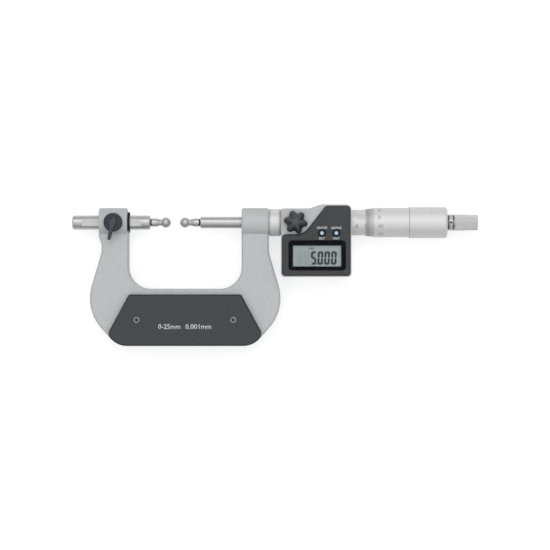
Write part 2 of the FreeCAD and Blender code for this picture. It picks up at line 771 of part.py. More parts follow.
def battery_notches():
    """Slots in the back wall through which the battery cap's lugs pass."""
    x, y = BATTERY_CENTRE
    outer = CAP_D / 2 + CAP_LUG_REACH + SLACK
    angle = CAP_LUG_ANGLE + 4
    notches = []
    for middle in (90, 270):
        wedge = Part.makeCylinder(
            outer, HOUSING_BACK_WALL + 2, Vector(x, y, -REST_HEIGHT - 1), Z_AXIS, angle
        )
        wedge.rotate(Vector(x, y, 0), Z_AXIS, middle - angle / 2)
        notches.append(wedge)
    return notches


def make_housing_body():
    """Cast box for the electronics, open to the front, bored for both tubes."""
    back = -REST_HEIGHT
    body = slab(housing_outline(), back, HOUSING_FRONT)
    body = body.makeChamfer(HOUSING_EDGE, rim(body, back) + rim(body, HOUSING_FRONT))
    deep = block(BOX_LEFT, BOX_RIGHT, BOX_BOTTOM, BLOCK_BOTTOM, BACK_WALL_Z, HOUSING_FRONT + 1)
    chamber = rod(TUBE_BLOCK_X, SLEEVE_BLOCK_X, STATOR_D + 2 * CHAMBER_GAP)
    tab_slot = block(
        TUBE_BLOCK_X,
        TUBE_BLOCK_X + STATOR_THICKNESS + SLACK,
        -STATOR_TAB - SLACK,
        BOARD_TOP_Y,
        0,
        HOUSING_FRONT,
    )
    tray = slab(panel_outline(HOUSING_WALL - PANEL_SIDE_GAP), TRAY_FLOOR, HOUSING_FRONT + 1)
    body = body.cut([deep, chamber, tab_slot, tray])
    posts = [stud(x, y, BACK_WALL_Z, HOUSING_FRONT, POST_D) for x, y in PANEL_SCREWS]
    shell = slab(housing_outline(), back + HOUSING_EDGE, HOUSING_FRONT - HOUSING_EDGE)
    posts = [post.common(shell) for post in posts]
    body = body.fuse(posts)
    x, y = BATTERY_CENTRE
    cuts = battery_notches()
    cuts.append(stud(x, y, back - 1, BACK_WALL_Z + FIT, CAP_D + 2 * RUN))
    cuts.append(rod(HOUSING_LEFT - 1, TUBE_BLOCK_X + 1, GUIDE_D + 2 * FIT))
    cuts.append(rod(SLEEVE_BLOCK_X - 1, HOUSING_RIGHT + 1, GUIDE_D + 2 * FIT))
    cuts.append(stud(KNOB_X, 0, 0, HOUSING_FRONT + 1, LOCK_SCREW_D + 2 * RUN))
    for x, y in PANEL_SCREWS:
        depth = HOUSING_FRONT - PANEL_SCREW_LENGTH
        cuts.append(stud(x, y, depth, HOUSING_FRONT + 1, PANEL_SCREW_D + 2 * FIT))
    return body.cut(cuts)


def window_outline(inset):
    """Outline of the display window, made smaller all round by inset."""
    left = HOUSING_LEFT + WINDOW_LEFT
    return rectangle(
        left + inset,
        HOUSING_RIGHT - WINDOW_RIGHT - inset,
        WINDOW_BOTTOM + inset,
        WINDOW_BOTTOM + WINDOW_HEIGHT - inset,
        max(WINDOW_CORNER - inset, 0.4),
    )


def make_display_panel():
    """Moulded front panel with a seat for the window and holes for the buttons."""
    panel = slab(panel_outline(0), HOUSING_FRONT, PANEL_FRONT)
    panel = panel.makeChamfer(PANEL_EDGE, rim(panel, PANEL_FRONT))
    seat = PANEL_FRONT - WINDOW_THICKNESS - FIT
    cuts = [
        slab(window_outline(0), seat, PANEL_FRONT + 1),
        slab(window_outline(WINDOW_LEDGE), HOUSING_FRONT - 1, PANEL_FRONT + 1),
    ]
    for x, y in BUTTON_CENTRES:
        cuts.append(stud(x, y, HOUSING_FRONT - 1, PANEL_FRONT + 1, BUTTON_D + 4 * RUN))
    for x, y in PANEL_SCREWS:
        cuts.append(stud(x, y, HOUSING_FRONT - 1, PANEL_FRONT + 1, PANEL_SCREW_D + 2 * RUN))
        seat = PANEL_FRONT - SLACK - PANEL_SCREW_HEAD
        cuts.append(stud(x, y, seat, PANEL_FRONT + 1, PANEL_SCREW_HEAD_D + 2 * RUN))
    return panel.cut(cuts)


def make_panel_screws():
    """Four small screws that hold the panel to the housing's posts."""
    screws = []
    for x, y in PANEL_SCREWS:
        top = PANEL_FRONT - SLACK
        seat = top - PANEL_SCREW_HEAD + FIT
        tip = HOUSING_FRONT - PANEL_SCREW_LENGTH + SLACK
        head = stud(x, y, seat, top, PANEL_SCREW_HEAD_D)
        arm = PANEL_SCREW_HEAD_D * 0.32
        width = PANEL_SCREW_HEAD_D * 0.08
        floor = top - PANEL_SCREW_HEAD / 2
        cross = block(x - arm, x + arm, y - width, y + width, floor, top + 1)
        cross = cross.fuse(block(x - width, x + width, y - arm, y + arm, floor, top + 1))
        screws.append(head.fuse(stud(x, y, tip, seat, PANEL_SCREW_D)).cut(cross))
    return Part.Compound(screws)


def make_display_window():
    """Clear pane that covers the display."""
    low = PANEL_FRONT - WINDOW_THICKNESS
    return slab(window_outline(RUN), low, PANEL_FRONT - RUN)


def lcd_corners():
    """Corners of the liquid crystal display: left, right, bottom and top."""
    left = HOUSING_LEFT + WINDOW_LEFT + LCD_MARGIN
    right = HOUSING_RIGHT - WINDOW_RIGHT - LCD_MARGIN
    low = WINDOW_BOTTOM + LCD_MARGIN
    high = WINDOW_BOTTOM + WINDOW_HEIGHT - LCD_MARGIN
    return left, right, low, high


def make_lcd_module():
    """Glass sandwich of the display."""
    left, right, low, high = lcd_corners()
    top = HOUSING_FRONT - LCD_GAP
    return block(left, right, low, high, top - LCD_THICKNESS, top)


def make_lcd_contact_strips():
    """Two elastomer strips that join the display to the board."""
    left, right, low, high = lcd_corners()
    bottom = BOARD_TOP
    top = BOARD_TOP + STRIP_HEIGHT
    lower = block(left + 1, right - 1, low, low + STRIP_WIDTH, bottom, top)
    upper = block(left + 1, right - 1, high - STRIP_WIDTH, high, bottom, top)
    return Part.Compound([lower, upper])


def make_main_circuit_board():
    """Board behind the display, with a tab behind the buttons."""
    left, right = BOX_LEFT + BOARD_MARGIN, BOX_RIGHT - BOARD_MARGIN
    low = BOX_BOTTOM + BOARD_MARGIN
    middle = BLOCK_BOTTOM - BOARD_MARGIN
    tab_left = TUBE_BLOCK_X + BOARD_MARGIN
    board = block(left, right, low, middle, BOARD_BOTTOM, BOARD_TOP)
    tab = block(tab_left, right, middle - 1, BOARD_TOP_Y, BOARD_BOTTOM, BOARD_TOP)
    cuts = []
    for x, y in PANEL_SCREWS:
        cuts.append(stud(x, y, BOARD_BOTTOM - 1, BOARD_TOP + 1, POST_D + 2 * SLACK))
    return board.fuse(tab).removeSplitter().cut(cuts)


def button(place):
    """A push button with a flange that keeps it behind the panel."""
    x, y = BUTTON_CENTRES[place]
    flange_top = HOUSING_FRONT - RUN
    flange_low = flange_top - BUTTON_FLANGE
    top = PANEL_FRONT + BUTTON_PROUD
    stem = stud(x, y, flange_low, top, BUTTON_D)
    stem = stem.makeFillet(BUTTON_PROUD / 2, rim(stem, top))
    flange = stud(x, y, flange_low, flange_top, BUTTON_FLANGE_D)
    dish = stud(x, y, top - BUTTON_DISH, top + 1, BUTTON_DOT_D)
    return stem.fuse(flange).removeSplitter().cut(dish)


def make_key_membrane():
    """Rubber mat with the two domes that the buttons press."""
    (x0, y0), (x1, y1) = BUTTON_CENTRES
    reach = BUTTON_FLANGE_D / 2 + MEMBRANE_MARGIN
    dome_top = HOUSING_FRONT - RUN - BUTTON_FLANGE - BUTTON_TRAVEL - FIT * 3
    mat_top = BOARD_TOP + (dome_top - BOARD_TOP) / 2
    right = min(x1 + reach, BOX_RIGHT - BOARD_MARGIN)
    low, high = y0 - reach / 2, y0 + reach
    mat = block(x0 - reach, right, low, high, BOARD_TOP, mat_top)
    domes = []
    for x, y in BUTTON_CENTRES:
        dome = Part.makeCone(
            BUTTON_D / 2, BUTTON_DOT_D / 2, dome_top - mat_top, Vector(x, y, mat_top), Z_AXIS
        )
        domes.append(dome)
    return mat.fuse(domes)


def make_battery_sleeve():
    """Moulded holder between the battery cap and the board."""
    x, y = BATTERY_CENTRE
    outer = BATTERY_D + 2 * SLACK + 2 * BATTERY_SLEEVE_WALL
    low = CAP_INSIDE + SLACK
    body = stud(x, y, low, BOARD_BOTTOM, outer)
    floor_top = BATTERY_FLOOR_Z + BATTERY_FLOOR
    well = stud(x, y, low - 1, BATTERY_FLOOR_Z, BATTERY_D + 2 * SLACK)
    hollow = stud(x, y, floor_top, BOARD_BOTTOM + 1, BATTERY_D)
    pin_hole = stud(x, y, low, BOARD_BOTTOM, CONTACT_PIN_D + 2 * RUN)
    return body.cut([well, hollow, pin_hole])


def make_battery():
    """Button cell."""
    x, y = BATTERY_CENTRE
    cell = stud(x, y, BATTERY_TOP - BATTERY_THICKNESS, BATTERY_TOP, BATTERY_D)
    return cell.makeChamfer(SLACK, rim(cell, BATTERY_TOP))


def make_battery_contact():
    """Disc and pin that carry the cell's current to the board."""
    x, y = BATTERY_CENTRE
    disc = stud(x, y, BATTERY_TOP, BATTERY_TOP + CONTACT_THICKNESS, CONTACT_D)
    pin = stud(x, y, BATTERY_TOP, BOARD_BOTTOM, CONTACT_PIN_D)
    return disc.fuse(pin).removeSplitter()


def make_battery_cap():
    """Quarter-turn cap with two lugs, a coin slot and a groove for its seal."""
    x, y = BATTERY_CENTRE
    outside = -REST_HEIGHT + CAP_RECESS
    body = stud(x, y, outside, CAP_INSIDE, CAP_D)
    body = body.makeChamfer(SLACK, rim(body, outside))
    lug_low = CAP_INSIDE - CAP_LUG_HEIGHT
    for middle in (0, 180):
        lug = Part.makeCylinder(
            CAP_D / 2 + CAP_LUG_REACH,
            CAP_LUG_HEIGHT,
            Vector(x, y, lug_low),
            Z_AXIS,
            CAP_LUG_ANGLE,
        )
        lug.rotate(Vector(x, y, 0), Z_AXIS, middle - CAP_LUG_ANGLE / 2)
        body = body.fuse(lug)
    slot = block(
        x - CAP_SLOT_LENGTH / 2,
        x + CAP_SLOT_LENGTH / 2,
        y - CAP_SLOT_WIDTH / 2,
        y + CAP_SLOT_WIDTH / 2,
        outside - 1,
        outside + CAP_SLOT_DEPTH,
    )
    floor_d = CAP_D + 2 * RUN - 2 * FIT - 2 * SEAL_WIRE_D - 2 * FIT
    low = seal_height() - SEAL_GROOVE_WIDTH / 2
    high = seal_height() + SEAL_GROOVE_WIDTH / 2
    groove = stud(x, y, low, high, CAP_D + 1).cut(stud(x, y, low, high, floor_d))
    return body.cut([slot, groove])


def seal_height():
    """Height of the cap seal's middle, halfway through the back wall."""
    return -REST_HEIGHT + HOUSING_BACK_WALL / 2


def make_battery_cap_seal():
    """Rubber ring in the cap's groove."""
    x, y = BATTERY_CENTRE
    outer = CAP_D / 2 + RUN - FIT
    centre = Vector(x, y, seal_height())
    return Part.makeTorus(outer - SEAL_WIRE_D / 2, SEAL_WIRE_D / 2, centre, Z_AXIS)


def make_encoder_stator():
    """Sensor board round the spindle, with a tab up to the main board."""
    start = TUBE_BLOCK_X
    end = start + STATOR_THICKNESS
    ring = rod(start, end, STATOR_D)
    tab = block(start, end, -STATOR_TAB, BOARD_TOP_Y - SLACK, 0, BOARD_BOTTOM)
    return ring.fuse(tab).cut(rod(start - 1, end + 1, STATOR_HOLE_D))


def rotor_start():
    """Place of the encoder disc's front face."""
    return TUBE_BLOCK_X + STATOR_THICKNESS + ROTOR_GAP


def key_span():
    """Where the rotor's key starts and ends along the axis."""
    start = rotor_start() + ROTOR_THICKNESS + KEY_START
    return start, start + KEY_LENGTH


def make_encoder_rotor():
    """Encoder disc and hub that turn with the spindle but don't slide with it."""
    start = rotor_start()
    disc_end = start + ROTOR_THICKNESS
    body = rod(start, disc_end, ROTOR_D).fuse(rod(disc_end, disc_end + HUB_LENGTH, HUB_D))
    key_start, key_end = key_span()
    half = KEYWAY_WIDTH / 2 - RUN + FIT / 2
    slot = block(key_start - FIT, key_end + FIT, -half, half, 0, KEY_TOP + FIT)
    bore = rod(start - 1, disc_end + HUB_LENGTH + 1, SPINDLE_D + 2 * RUN)
    return body.cut([slot, bore])


def make_rotor_key():
    """Key in the rotor's hub that slides in the spindle's keyway."""
    key_start, key_end = key_span()
    half = KEYWAY_WIDTH / 2 - RUN
    return block(key_start, key_end, -half, half, KEY_FLOOR, KEY_TOP)


def make_spindle():
    """Measuring spindle: plain shank, keyway, thread, seat for the thimble and tail."""
    tail_end = THIMBLE_END + TAIL_LENGTH
    profile = [
        (SPINDLE_END_X, SPINDLE_D / 2 - SPINDLE_CHAMFER),
        (SPINDLE_END_X + SPINDLE_CHAMFER, SPINDLE_D / 2),
        (THREAD_START - 1, SPINDLE_D / 2),
        (THREAD_START, THREAD_D / 2),
        (THREAD_END, THREAD_D / 2),
        (THREAD_END, THREAD_RELIEF_D / 2),
        (SHOULDER_X, THREAD_RELIEF_D / 2),
        (SHOULDER_X, CONE_FRONT_D / 2),
        (THIMBLE_END, CONE_BACK_D / 2),
        (THIMBLE_END, TAIL_D / 2),
        (tail_end, TAIL_D / 2),
    ]
    body = turned(profile)
    key_start, key_end = key_span()
    keyway = block(
        key_start - (MEASURING_RANGE - READING) - KEYWAY_SPARE,
        key_end + READING + KEYWAY_SPARE,
        -KEYWAY_WIDTH / 2,
        KEYWAY_WIDTH / 2,
        KEYWAY_FLOOR,
        SPINDLE_D,
    )
    socket_end = SPINDLE_END_X + TIP_SHANK_LENGTH + FIT
    socket = rod(SPINDLE_END_X - 1, socket_end, TIP_SHANK_D + 2 * FIT)
    screw_hole = rod(
        tail_end - RATCHET_SCREW_GRIP - FIT, tail_end + 1, RATCHET_SCREW_D + 2 * FIT
    )
    return body.cut([keyway, socket, screw_hole])


def make_spindle_lock_plug():
    """Brass plug that the star knob presses on the spindle."""
    low = SPINDLE_D / 2 + LOCK_PLUG_GAP
    return stud(KNOB_X, 0, low, low + LOCK_PLUG_LENGTH, LOCK_PLUG_D)


def knob_lobe(angle, low, high):
    """One lobe of the star knob, a little narrower at its top."""
    centre = KNOB_D / 2 - KNOB_LOBE_D / 2
    top = KNOB_LOBE_D / 2 - SLACK * 2
    x = KNOB_X + centre * math.cos(math.radians(angle))
    y = centre * math.sin(math.radians(angle))
    return Part.makeCone(KNOB_LOBE_D / 2, top, high - low, Vector(x, y, low), Z_AXIS)


def make_spindle_lock_knob():
    """Star knob moulded on the spindle lock's screw."""
    screw_low = SPINDLE_D / 2 + LOCK_PLUG_GAP + LOCK_PLUG_LENGTH + FIT
    neck_low = HOUSING_FRONT + LOCK_LIFT
    star_low = neck_low + KNOB_NECK
    star_high = star_low + KNOB_HEIGHT
    core_d = KNOB_D - KNOB_LOBE_D
    parts = [
        stud(KNOB_X, 0, neck_low, star_low, KNOB_NECK_D),
        stud(KNOB_X, 0, star_low, star_high, core_d),
    ]
    for k in range(KNOB_LOBES):
        lobe_high = star_high - KNOB_CROWN
        parts.append(knob_lobe(KNOB_TURN + 360 / KNOB_LOBES * k, star_low, lobe_high))
    body = stud(KNOB_X, 0, screw_low, neck_low, LOCK_SCREW_D).fuse(parts).removeSplitter()
    crown = Part.makeCone(
        KNOB_D / 2 + 1, KNOB_EYE_D / 2, KNOB_HEIGHT, Vector(KNOB_X, 0, star_low + KNOB_CROWN), Z_AXIS
    )
    keep = crown.fuse(stud(KNOB_X, 0, screw_low - 1, star_low + KNOB_CROWN, KNOB_D + 2))
    return body.common(keep)


def make_thread_sleeve():
    """Fixed nut of the spindle's thread, slit at its end so that it can be closed up."""
    start = SLEEVE_BLOCK_X
    body = rod(start, THREAD_SLEEVE_END, GUIDE_D)
    entry = rod(start - 1, THREAD_BORE_START, THREAD_ENTRY_D)
    bore = rod(start - 1, THREAD_SLEEVE_END + 1, THREAD_D + 2 * RUN)
    cuts = [entry, bore]
    for k in range(SLIT_COUNT):
        slit = block(
            THREAD_SLEEVE_END - SLIT_LENGTH,
            THREAD_SLEEVE_END + 1,
            -SLIT_WIDTH / 2,
            SLIT_WIDTH / 2,
            0,
            GUIDE_D,
        )
        slit.rotate(Vector(0, 0, 0), X_AXIS, 360 / SLIT_COUNT * k)
        cuts.append(slit)
    return body.cut(cuts)


def make_adjusting_nut():
    """Nut that closes the slit sleeve to take up wear in the thread."""
    end = NUT_START + NUT_LENGTH
    body = tube(NUT_START, end, NUT_D, GUIDE_D + 2 * FIT)
    cuts = []
    for k in range(SLIT_COUNT):
        slot = block(
            end - NUT_SLOT_DEPTH,
            end + 1,
            -NUT_SLOT_WIDTH / 2,
            NUT_SLOT_WIDTH / 2,
            0,
            NUT_D,
        )
        slot.rotate(Vector(0, 0, 0), X_AXIS, 360 / SLIT_COUNT * (k + 0.5))
        cuts.append(slot)
    return body.cut(cuts)


def make_graduated_sleeve():
    """Sleeve that carries the millimetre scale."""
    return tube(HOUSING_RIGHT, SLEEVE_END, SLEEVE_D, GUIDE_D + 2 * FIT)


def make_thimble():
    """Graduated drum, seated on the spindle's cone."""
    bevel_end = THIMBLE_EDGE_X + THIMBLE_BEVEL
    outside = turned(
        [
            (THIMBLE_EDGE_X, THIMBLE_EDGE_D / 2),
            (bevel_end, THIMBLE_D / 2),
            (GRIP_START, THIMBLE_D / 2),
            (GRIP_START, THIMBLE_TAIL_D / 2),
            (THIMBLE_END, THIMBLE_TAIL_D / 2),
        ]
    )
    bore = rod(THIMBLE_EDGE_X - 1, SHOULDER_X, THIMBLE_BORE_D)
    seat = taper(SHOULDER_X, THIMBLE_END, CONE_FRONT_D + 2 * FIT, CONE_BACK_D + 2 * FIT)
    return outside.cut([bore, seat])


def make_thimble_grip():
    """Matt grip sleeve over the thimble's rear half."""
    body = rod(GRIP_START, GRIP_END, GRIP_D)
    body = body.makeFillet(GRIP_ROUND, ring_edges(body, GRIP_END, GRIP_D))
    body = body.makeChamfer(GRIP_NECK, ring_edges(body, GRIP_START, GRIP_D))
    bore = rod(GRIP_START - 1, THIMBLE_END + FIT, THIMBLE_TAIL_D + 2 * FIT)
    return body.cut([bore, rod(GRIP_START, GRIP_END + 1, NECK_D + 4 * RUN)])


def make_thimble_cap_nut():
    """Nut that draws the thimble on to the spindle's cone."""
    body = rod(THIMBLE_END + FIT, NECK_END, NECK_D)
    groove_x = GRIP_END + NECK_GROOVE_AT
    groove = tube(
        groove_x,
        groove_x + NECK_GROOVE_WIDTH,
        NECK_D + 1,
        NECK_D - 2 * NECK_GROOVE_DEPTH,
    )
    thread = rod(THIMBLE_END - 1, THIMBLE_END + TAIL_LENGTH + FIT, TAIL_D + 2 * FIT)
    hole = rod(THIMBLE_END, NECK_END + 1, RATCHET_SCREW_D + 2 * FIT)
    spanner_x = GRIP_END + SPANNER_AT
    spanner = stud(spanner_x, 0, NECK_D / 2 - SPANNER_DEPTH, NECK_D, SPANNER_D)
    return body.cut([groove, thread, hole, spanner])


def saw_teeth(x, direction):
    """A ring of saw teeth; x is where they stand and direction is the way they point."""
    outer = RATCHET_BORE_D / 2 - RUN
    inner = RATCHET_SCREW_D / 2 + 4 * RUN
    step = 360 / TOOTH_COUNT
    teeth = []
    for k in range(TOOTH_COUNT):
        middle = math.radians(step * k)
        width = outer * math.tan(math.radians(step / 2)) * 0.9
        points = [
            Vector(x, -width, 0),
            Vector(x, width, 0),
            Vector(x + direction * TOOTH_HEIGHT, width, 0),
        ]
        wedge = Part.Face(Part.makePolygon(points + [points[0]])).extrude(Vector(0, 0, outer))
        wedge.rotate(Vector(0, 0, 0), X_AXIS, math.degrees(middle))
        teeth.append(wedge)
    low, high = min(x, x + direction * TOOTH_HEIGHT), max(x, x + direction * TOOTH_HEIGHT)
    ring = tube(low - 0.01, high + 0.01, 2 * outer, 2 * inner)
    return [tooth.common(ring) for tooth in teeth]


def make_ratchet_crown():
    """Toothed ring that stays with the spindle."""
    x = CROWN_START + CROWN_BASE
    body = rod(CROWN_START, x, RATCHET_BORE_D - 2 * RUN)
    body = body.fuse(saw_teeth(x, 1))
    return body.cut(rod(CROWN_START - 1, TOOTH_TIP + 1, RATCHET_SCREW_D + 2 * FIT))


def make_ratchet_disc():
    """Toothed disc that the spring holds against the crown and the cap turns."""
    x = DISC_TIP + TOOTH_HEIGHT
    body = rod(x, DISC_BACK, RATCHET_BORE_D - 2 * FIT)
    body = body.fuse(saw_teeth(x, -1))
    return body.cut(rod(DISC_TIP - 1, DISC_BACK + 1, RATCHET_SCREW_D + 2 * RUN))


def make_ratchet_spring():
    """Coil spring between the toothed disc and the cap's web."""
    length = WEB_START - DISC_BACK - SPRING_WIRE_D - 2 * FIT
    radius = SPRING_D / 2 - SPRING_WIRE_D / 2
    helix = Part.makeHelix(length / SPRING_TURNS, length, radius)
    section = Part.Wire(
        Part.makeCircle(SPRING_WIRE_D / 2, Vector(radius, 0, 0), Vector(0, 1, 0))
    )
    coil = Part.Wire(helix.Edges).makePipeShell([section], True, True)
    coil.rotate(Vector(0, 0, 0), Y_AXIS, 90)
    coil.translate(Vector(DISC_BACK + SPRING_WIRE_D / 2 + FIT, 0, 0))
    return coil


def make_ratchet_cap():
    """Knurled cap that turns the spindle through the ratchet."""
    body = taper(RATCHET_START, RATCHET_END, RATCHET_D, RATCHET_END_D)
    body = body.makeChamfer(SLACK, ring_edges(body, RATCHET_END, RATCHET_END_D))
    slope = math.degrees(math.atan((RATCHET_D - RATCHET_END_D) / 2 / RATCHET_LENGTH))
    knurls = []
    for k in range(KNURL_COUNT):
        top = RATCHET_D / 2
        points = [
            Vector(RATCHET_START - 1, 0, top - KNURL_DEPTH),
            Vector(RATCHET_START - 1, -KNURL_DEPTH * 1.6, top + KNURL_DEPTH * 0.6),
            Vector(RATCHET_START - 1, KNURL_DEPTH * 1.6, top + KNURL_DEPTH * 0.6),
        ]
        groove = Part.Face(Part.makePolygon(points + [points[0]]))
        groove = groove.extrude(Vector(RATCHET_LENGTH + 2, 0, 0))
        groove.rotate(Vector(RATCHET_START, 0, top), Y_AXIS, slope)
        groove.rotate(Vector(0, 0, 0), X_AXIS, 360 / KNURL_COUNT * k)
        knurls.append(groove)
    body = body.cut(knurls)
    chamber = rod(RATCHET_START - 1, WEB_START, RATCHET_BORE_D)
    recess = rod(RECESS_START, RATCHET_END + 1, RATCHET_END_BORE_D)
    hole = rod(WEB_START - 1, RECESS_START + 1, RATCHET_SCREW_D + 2 * RUN)
    return body.cut([chamber, recess, hole])


def make_ratchet_screw():
    """Shouldered screw that keeps the ratchet on the spindle's tail."""
    tail_end = THIMBLE_END + TAIL_LENGTH
    head_start = RECESS_START + RUN
    head_end = head_start + RATCHET_SCREW_HEAD
    body = rod(tail_end - RATCHET_SCREW_GRIP, head_start, RATCHET_SCREW_D)
    body = body.fuse(rod(head_start, head_end, RATCHET_SCREW_HEAD_D))
    slot = block(
        head_end - SCREW_SLOT_DEPTH,
        head_end + 1,
        -RATCHET_SCREW_HEAD_D,
        RATCHET_SCREW_HEAD_D,
        -SCREW_SLOT_WIDTH / 2,
        SCREW_SLOT_WIDTH / 2,
    )
    return body.cut(slot)


PIECES = {
    "frame": make_frame,
    "front_grip_plate": front_plate,
    "rear_grip_plate": lambda: to_rear(front_plate()),
    "grip_plate_screws": make_plate_screws,
    "anvil_rod": make_anvil_rod,
    "anvil_ball_tip": lambda: ball_tip(ANVIL_END_X, 1),
    "anvil_ring": make_anvil_ring,
    "anvil_lock_plug": make_anvil_lock_plug,
    "anvil_lock_lever": make_anvil_lock_lever,
    "guide_tube": make_guide_tube,
    "spindle_wiper": make_spindle_wiper,
    "spindle": make_spindle,
    "spindle_ball_tip": lambda: ball_tip(SPINDLE_END_X, -1),
    "spindle_lock_plug": make_spindle_lock_plug,
    "spindle_lock_knob": make_spindle_lock_knob,
    "housing_body": make_housing_body,
    "display_panel": make_display_panel,
    "panel_screws": make_panel_screws,
    "display_window": make_display_window,
    "lcd_module": make_lcd_module,
    "lcd_contact_strips": make_lcd_contact_strips,
    "main_circuit_board": make_main_circuit_board,
    "on_off_button": lambda: button(0),
    "unit_button": lambda: button(1),
    "key_membrane": make_key_membrane,
    "battery_sleeve": make_battery_sleeve,
    "battery": make_battery,
    "battery_contact": make_battery_contact,
    "battery_cap": make_battery_cap,
    "battery_cap_seal": make_battery_cap_seal,
    "encoder_stator": make_encoder_stator,
    "encoder_rotor": make_encoder_rotor,
    "rotor_key": make_rotor_key,
    "thread_sleeve": make_thread_sleeve,
    "adjusting_nut": make_adjusting_nut,
    "graduated_sleeve": make_graduated_sleeve,
    "thimble": make_thimble,
    "thimble_grip": make_thimble_grip,
    "thimble_cap_nut": make_thimble_cap_nut,
    "ratchet_crown": make_ratchet_crown,
    "ratchet_disc": make_ratchet_disc,
    "ratchet_spring": make_ratchet_spring,
    "ratchet_cap": make_ratchet_cap,
    "ratchet_screw": make_ratchet_screw,
}


def save(node, shape):
    """Move a piece into the part's own frame and write it."""
    shape = shape.copy()
    shape.translate(Vector(0, PLATE_SCREW_DROP, REST_HEIGHT))
    shape.exportStep("parts/" + node + ".step")
    box = shape.BoundBox
    ends = (box.XMin, box.XMax, box.YMin, box.YMax, box.ZMin, box.ZMax)
    sizes = " ".join("%.2f" % value for value in ends)
    print(node, len(shape.Solids), "solids", "%.1f mm3" % shape.Volume, sizes, shape.isValid())


os.makedirs("parts", exist_ok=True)
for node, make in PIECES.items():
    save(node, make())
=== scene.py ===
# %% [markdown]
# # A digital gear tooth micrometer
#
# The real tool measures the teeth of small gears between two steel balls. A painted bow holds
# both ends, a grey box carries the display, and a satin chrome thimble turns the spindle. The
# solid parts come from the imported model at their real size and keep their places. This lesson
# gives each of them its finish, and models what the solids leave out: the scales, the display's
# figures, the lettering, the window's black border and the small rounded forms.

# %% Load the frame
import bmesh
import bpy
import json
import math
from mathutils import Matrix, Vector


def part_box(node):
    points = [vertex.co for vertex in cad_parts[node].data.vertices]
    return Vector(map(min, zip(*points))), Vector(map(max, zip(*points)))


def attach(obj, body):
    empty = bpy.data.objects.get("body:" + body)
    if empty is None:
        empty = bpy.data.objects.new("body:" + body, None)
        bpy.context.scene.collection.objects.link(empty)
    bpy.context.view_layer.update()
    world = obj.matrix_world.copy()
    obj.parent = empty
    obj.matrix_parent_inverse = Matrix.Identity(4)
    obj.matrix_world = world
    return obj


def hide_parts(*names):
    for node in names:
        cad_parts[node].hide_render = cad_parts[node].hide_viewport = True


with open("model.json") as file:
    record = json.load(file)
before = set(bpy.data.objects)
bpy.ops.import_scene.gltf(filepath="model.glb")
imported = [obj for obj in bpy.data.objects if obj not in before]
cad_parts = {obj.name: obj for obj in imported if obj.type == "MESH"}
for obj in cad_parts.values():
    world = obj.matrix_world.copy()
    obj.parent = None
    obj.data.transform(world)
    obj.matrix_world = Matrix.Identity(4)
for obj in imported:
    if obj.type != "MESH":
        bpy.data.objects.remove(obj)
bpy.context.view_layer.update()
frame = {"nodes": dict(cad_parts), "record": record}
nodes = frame["nodes"]
bpy.ops.object.select_all(action="DESELECT")

# %% [markdown]
# ## Where things are
#
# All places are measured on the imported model, in metres. The spindle's axis is the line that
# everything round turns about, so the first cell reads its height from the thimble. MM lets a
# real size be written as it would be on a drawing.

# %% Read the main places
MM = 0.001
thimble_low, thimble_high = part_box("thimble")
sleeve_low, sleeve_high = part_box("graduated_sleeve")
AXIS_Y = (thimble_low.y + thimble_high.y) / 2
AXIS_Z = (thimble_low.z + thimble_high.z) / 2
THIMBLE_RADIUS = (thimble_high.z - thimble_low.z) / 2
SLEEVE_RADIUS = (sleeve_high.z - sleeve_low.z) / 2
print("axis at Y %.2f mm, Z %.2f mm" % (AXIS_Y / MM, AXIS_Z / MM))

# %% [markdown]
# ## Materials
#
# Almost every surface here is one of three kinds: paint, moulded plastic or bare metal. Each
# kind is told apart by how its light breaks up, so one helper builds the nodes they share: a
# fine grain that tilts the surface, a broad mottle that shifts its colour, and a drift in
# roughness. Patterns read Object coordinates, which stay fixed to the part.


# %% A helper for grained finishes
FINISH = {}
EVEN = (1, 1, 1)


def grey(level):
    """A colour without a hue."""
    return (level, level, level)


def shader_of(material):
    """The shader that a finish ends in."""
    return material.node_tree.nodes["Principled BSDF"]


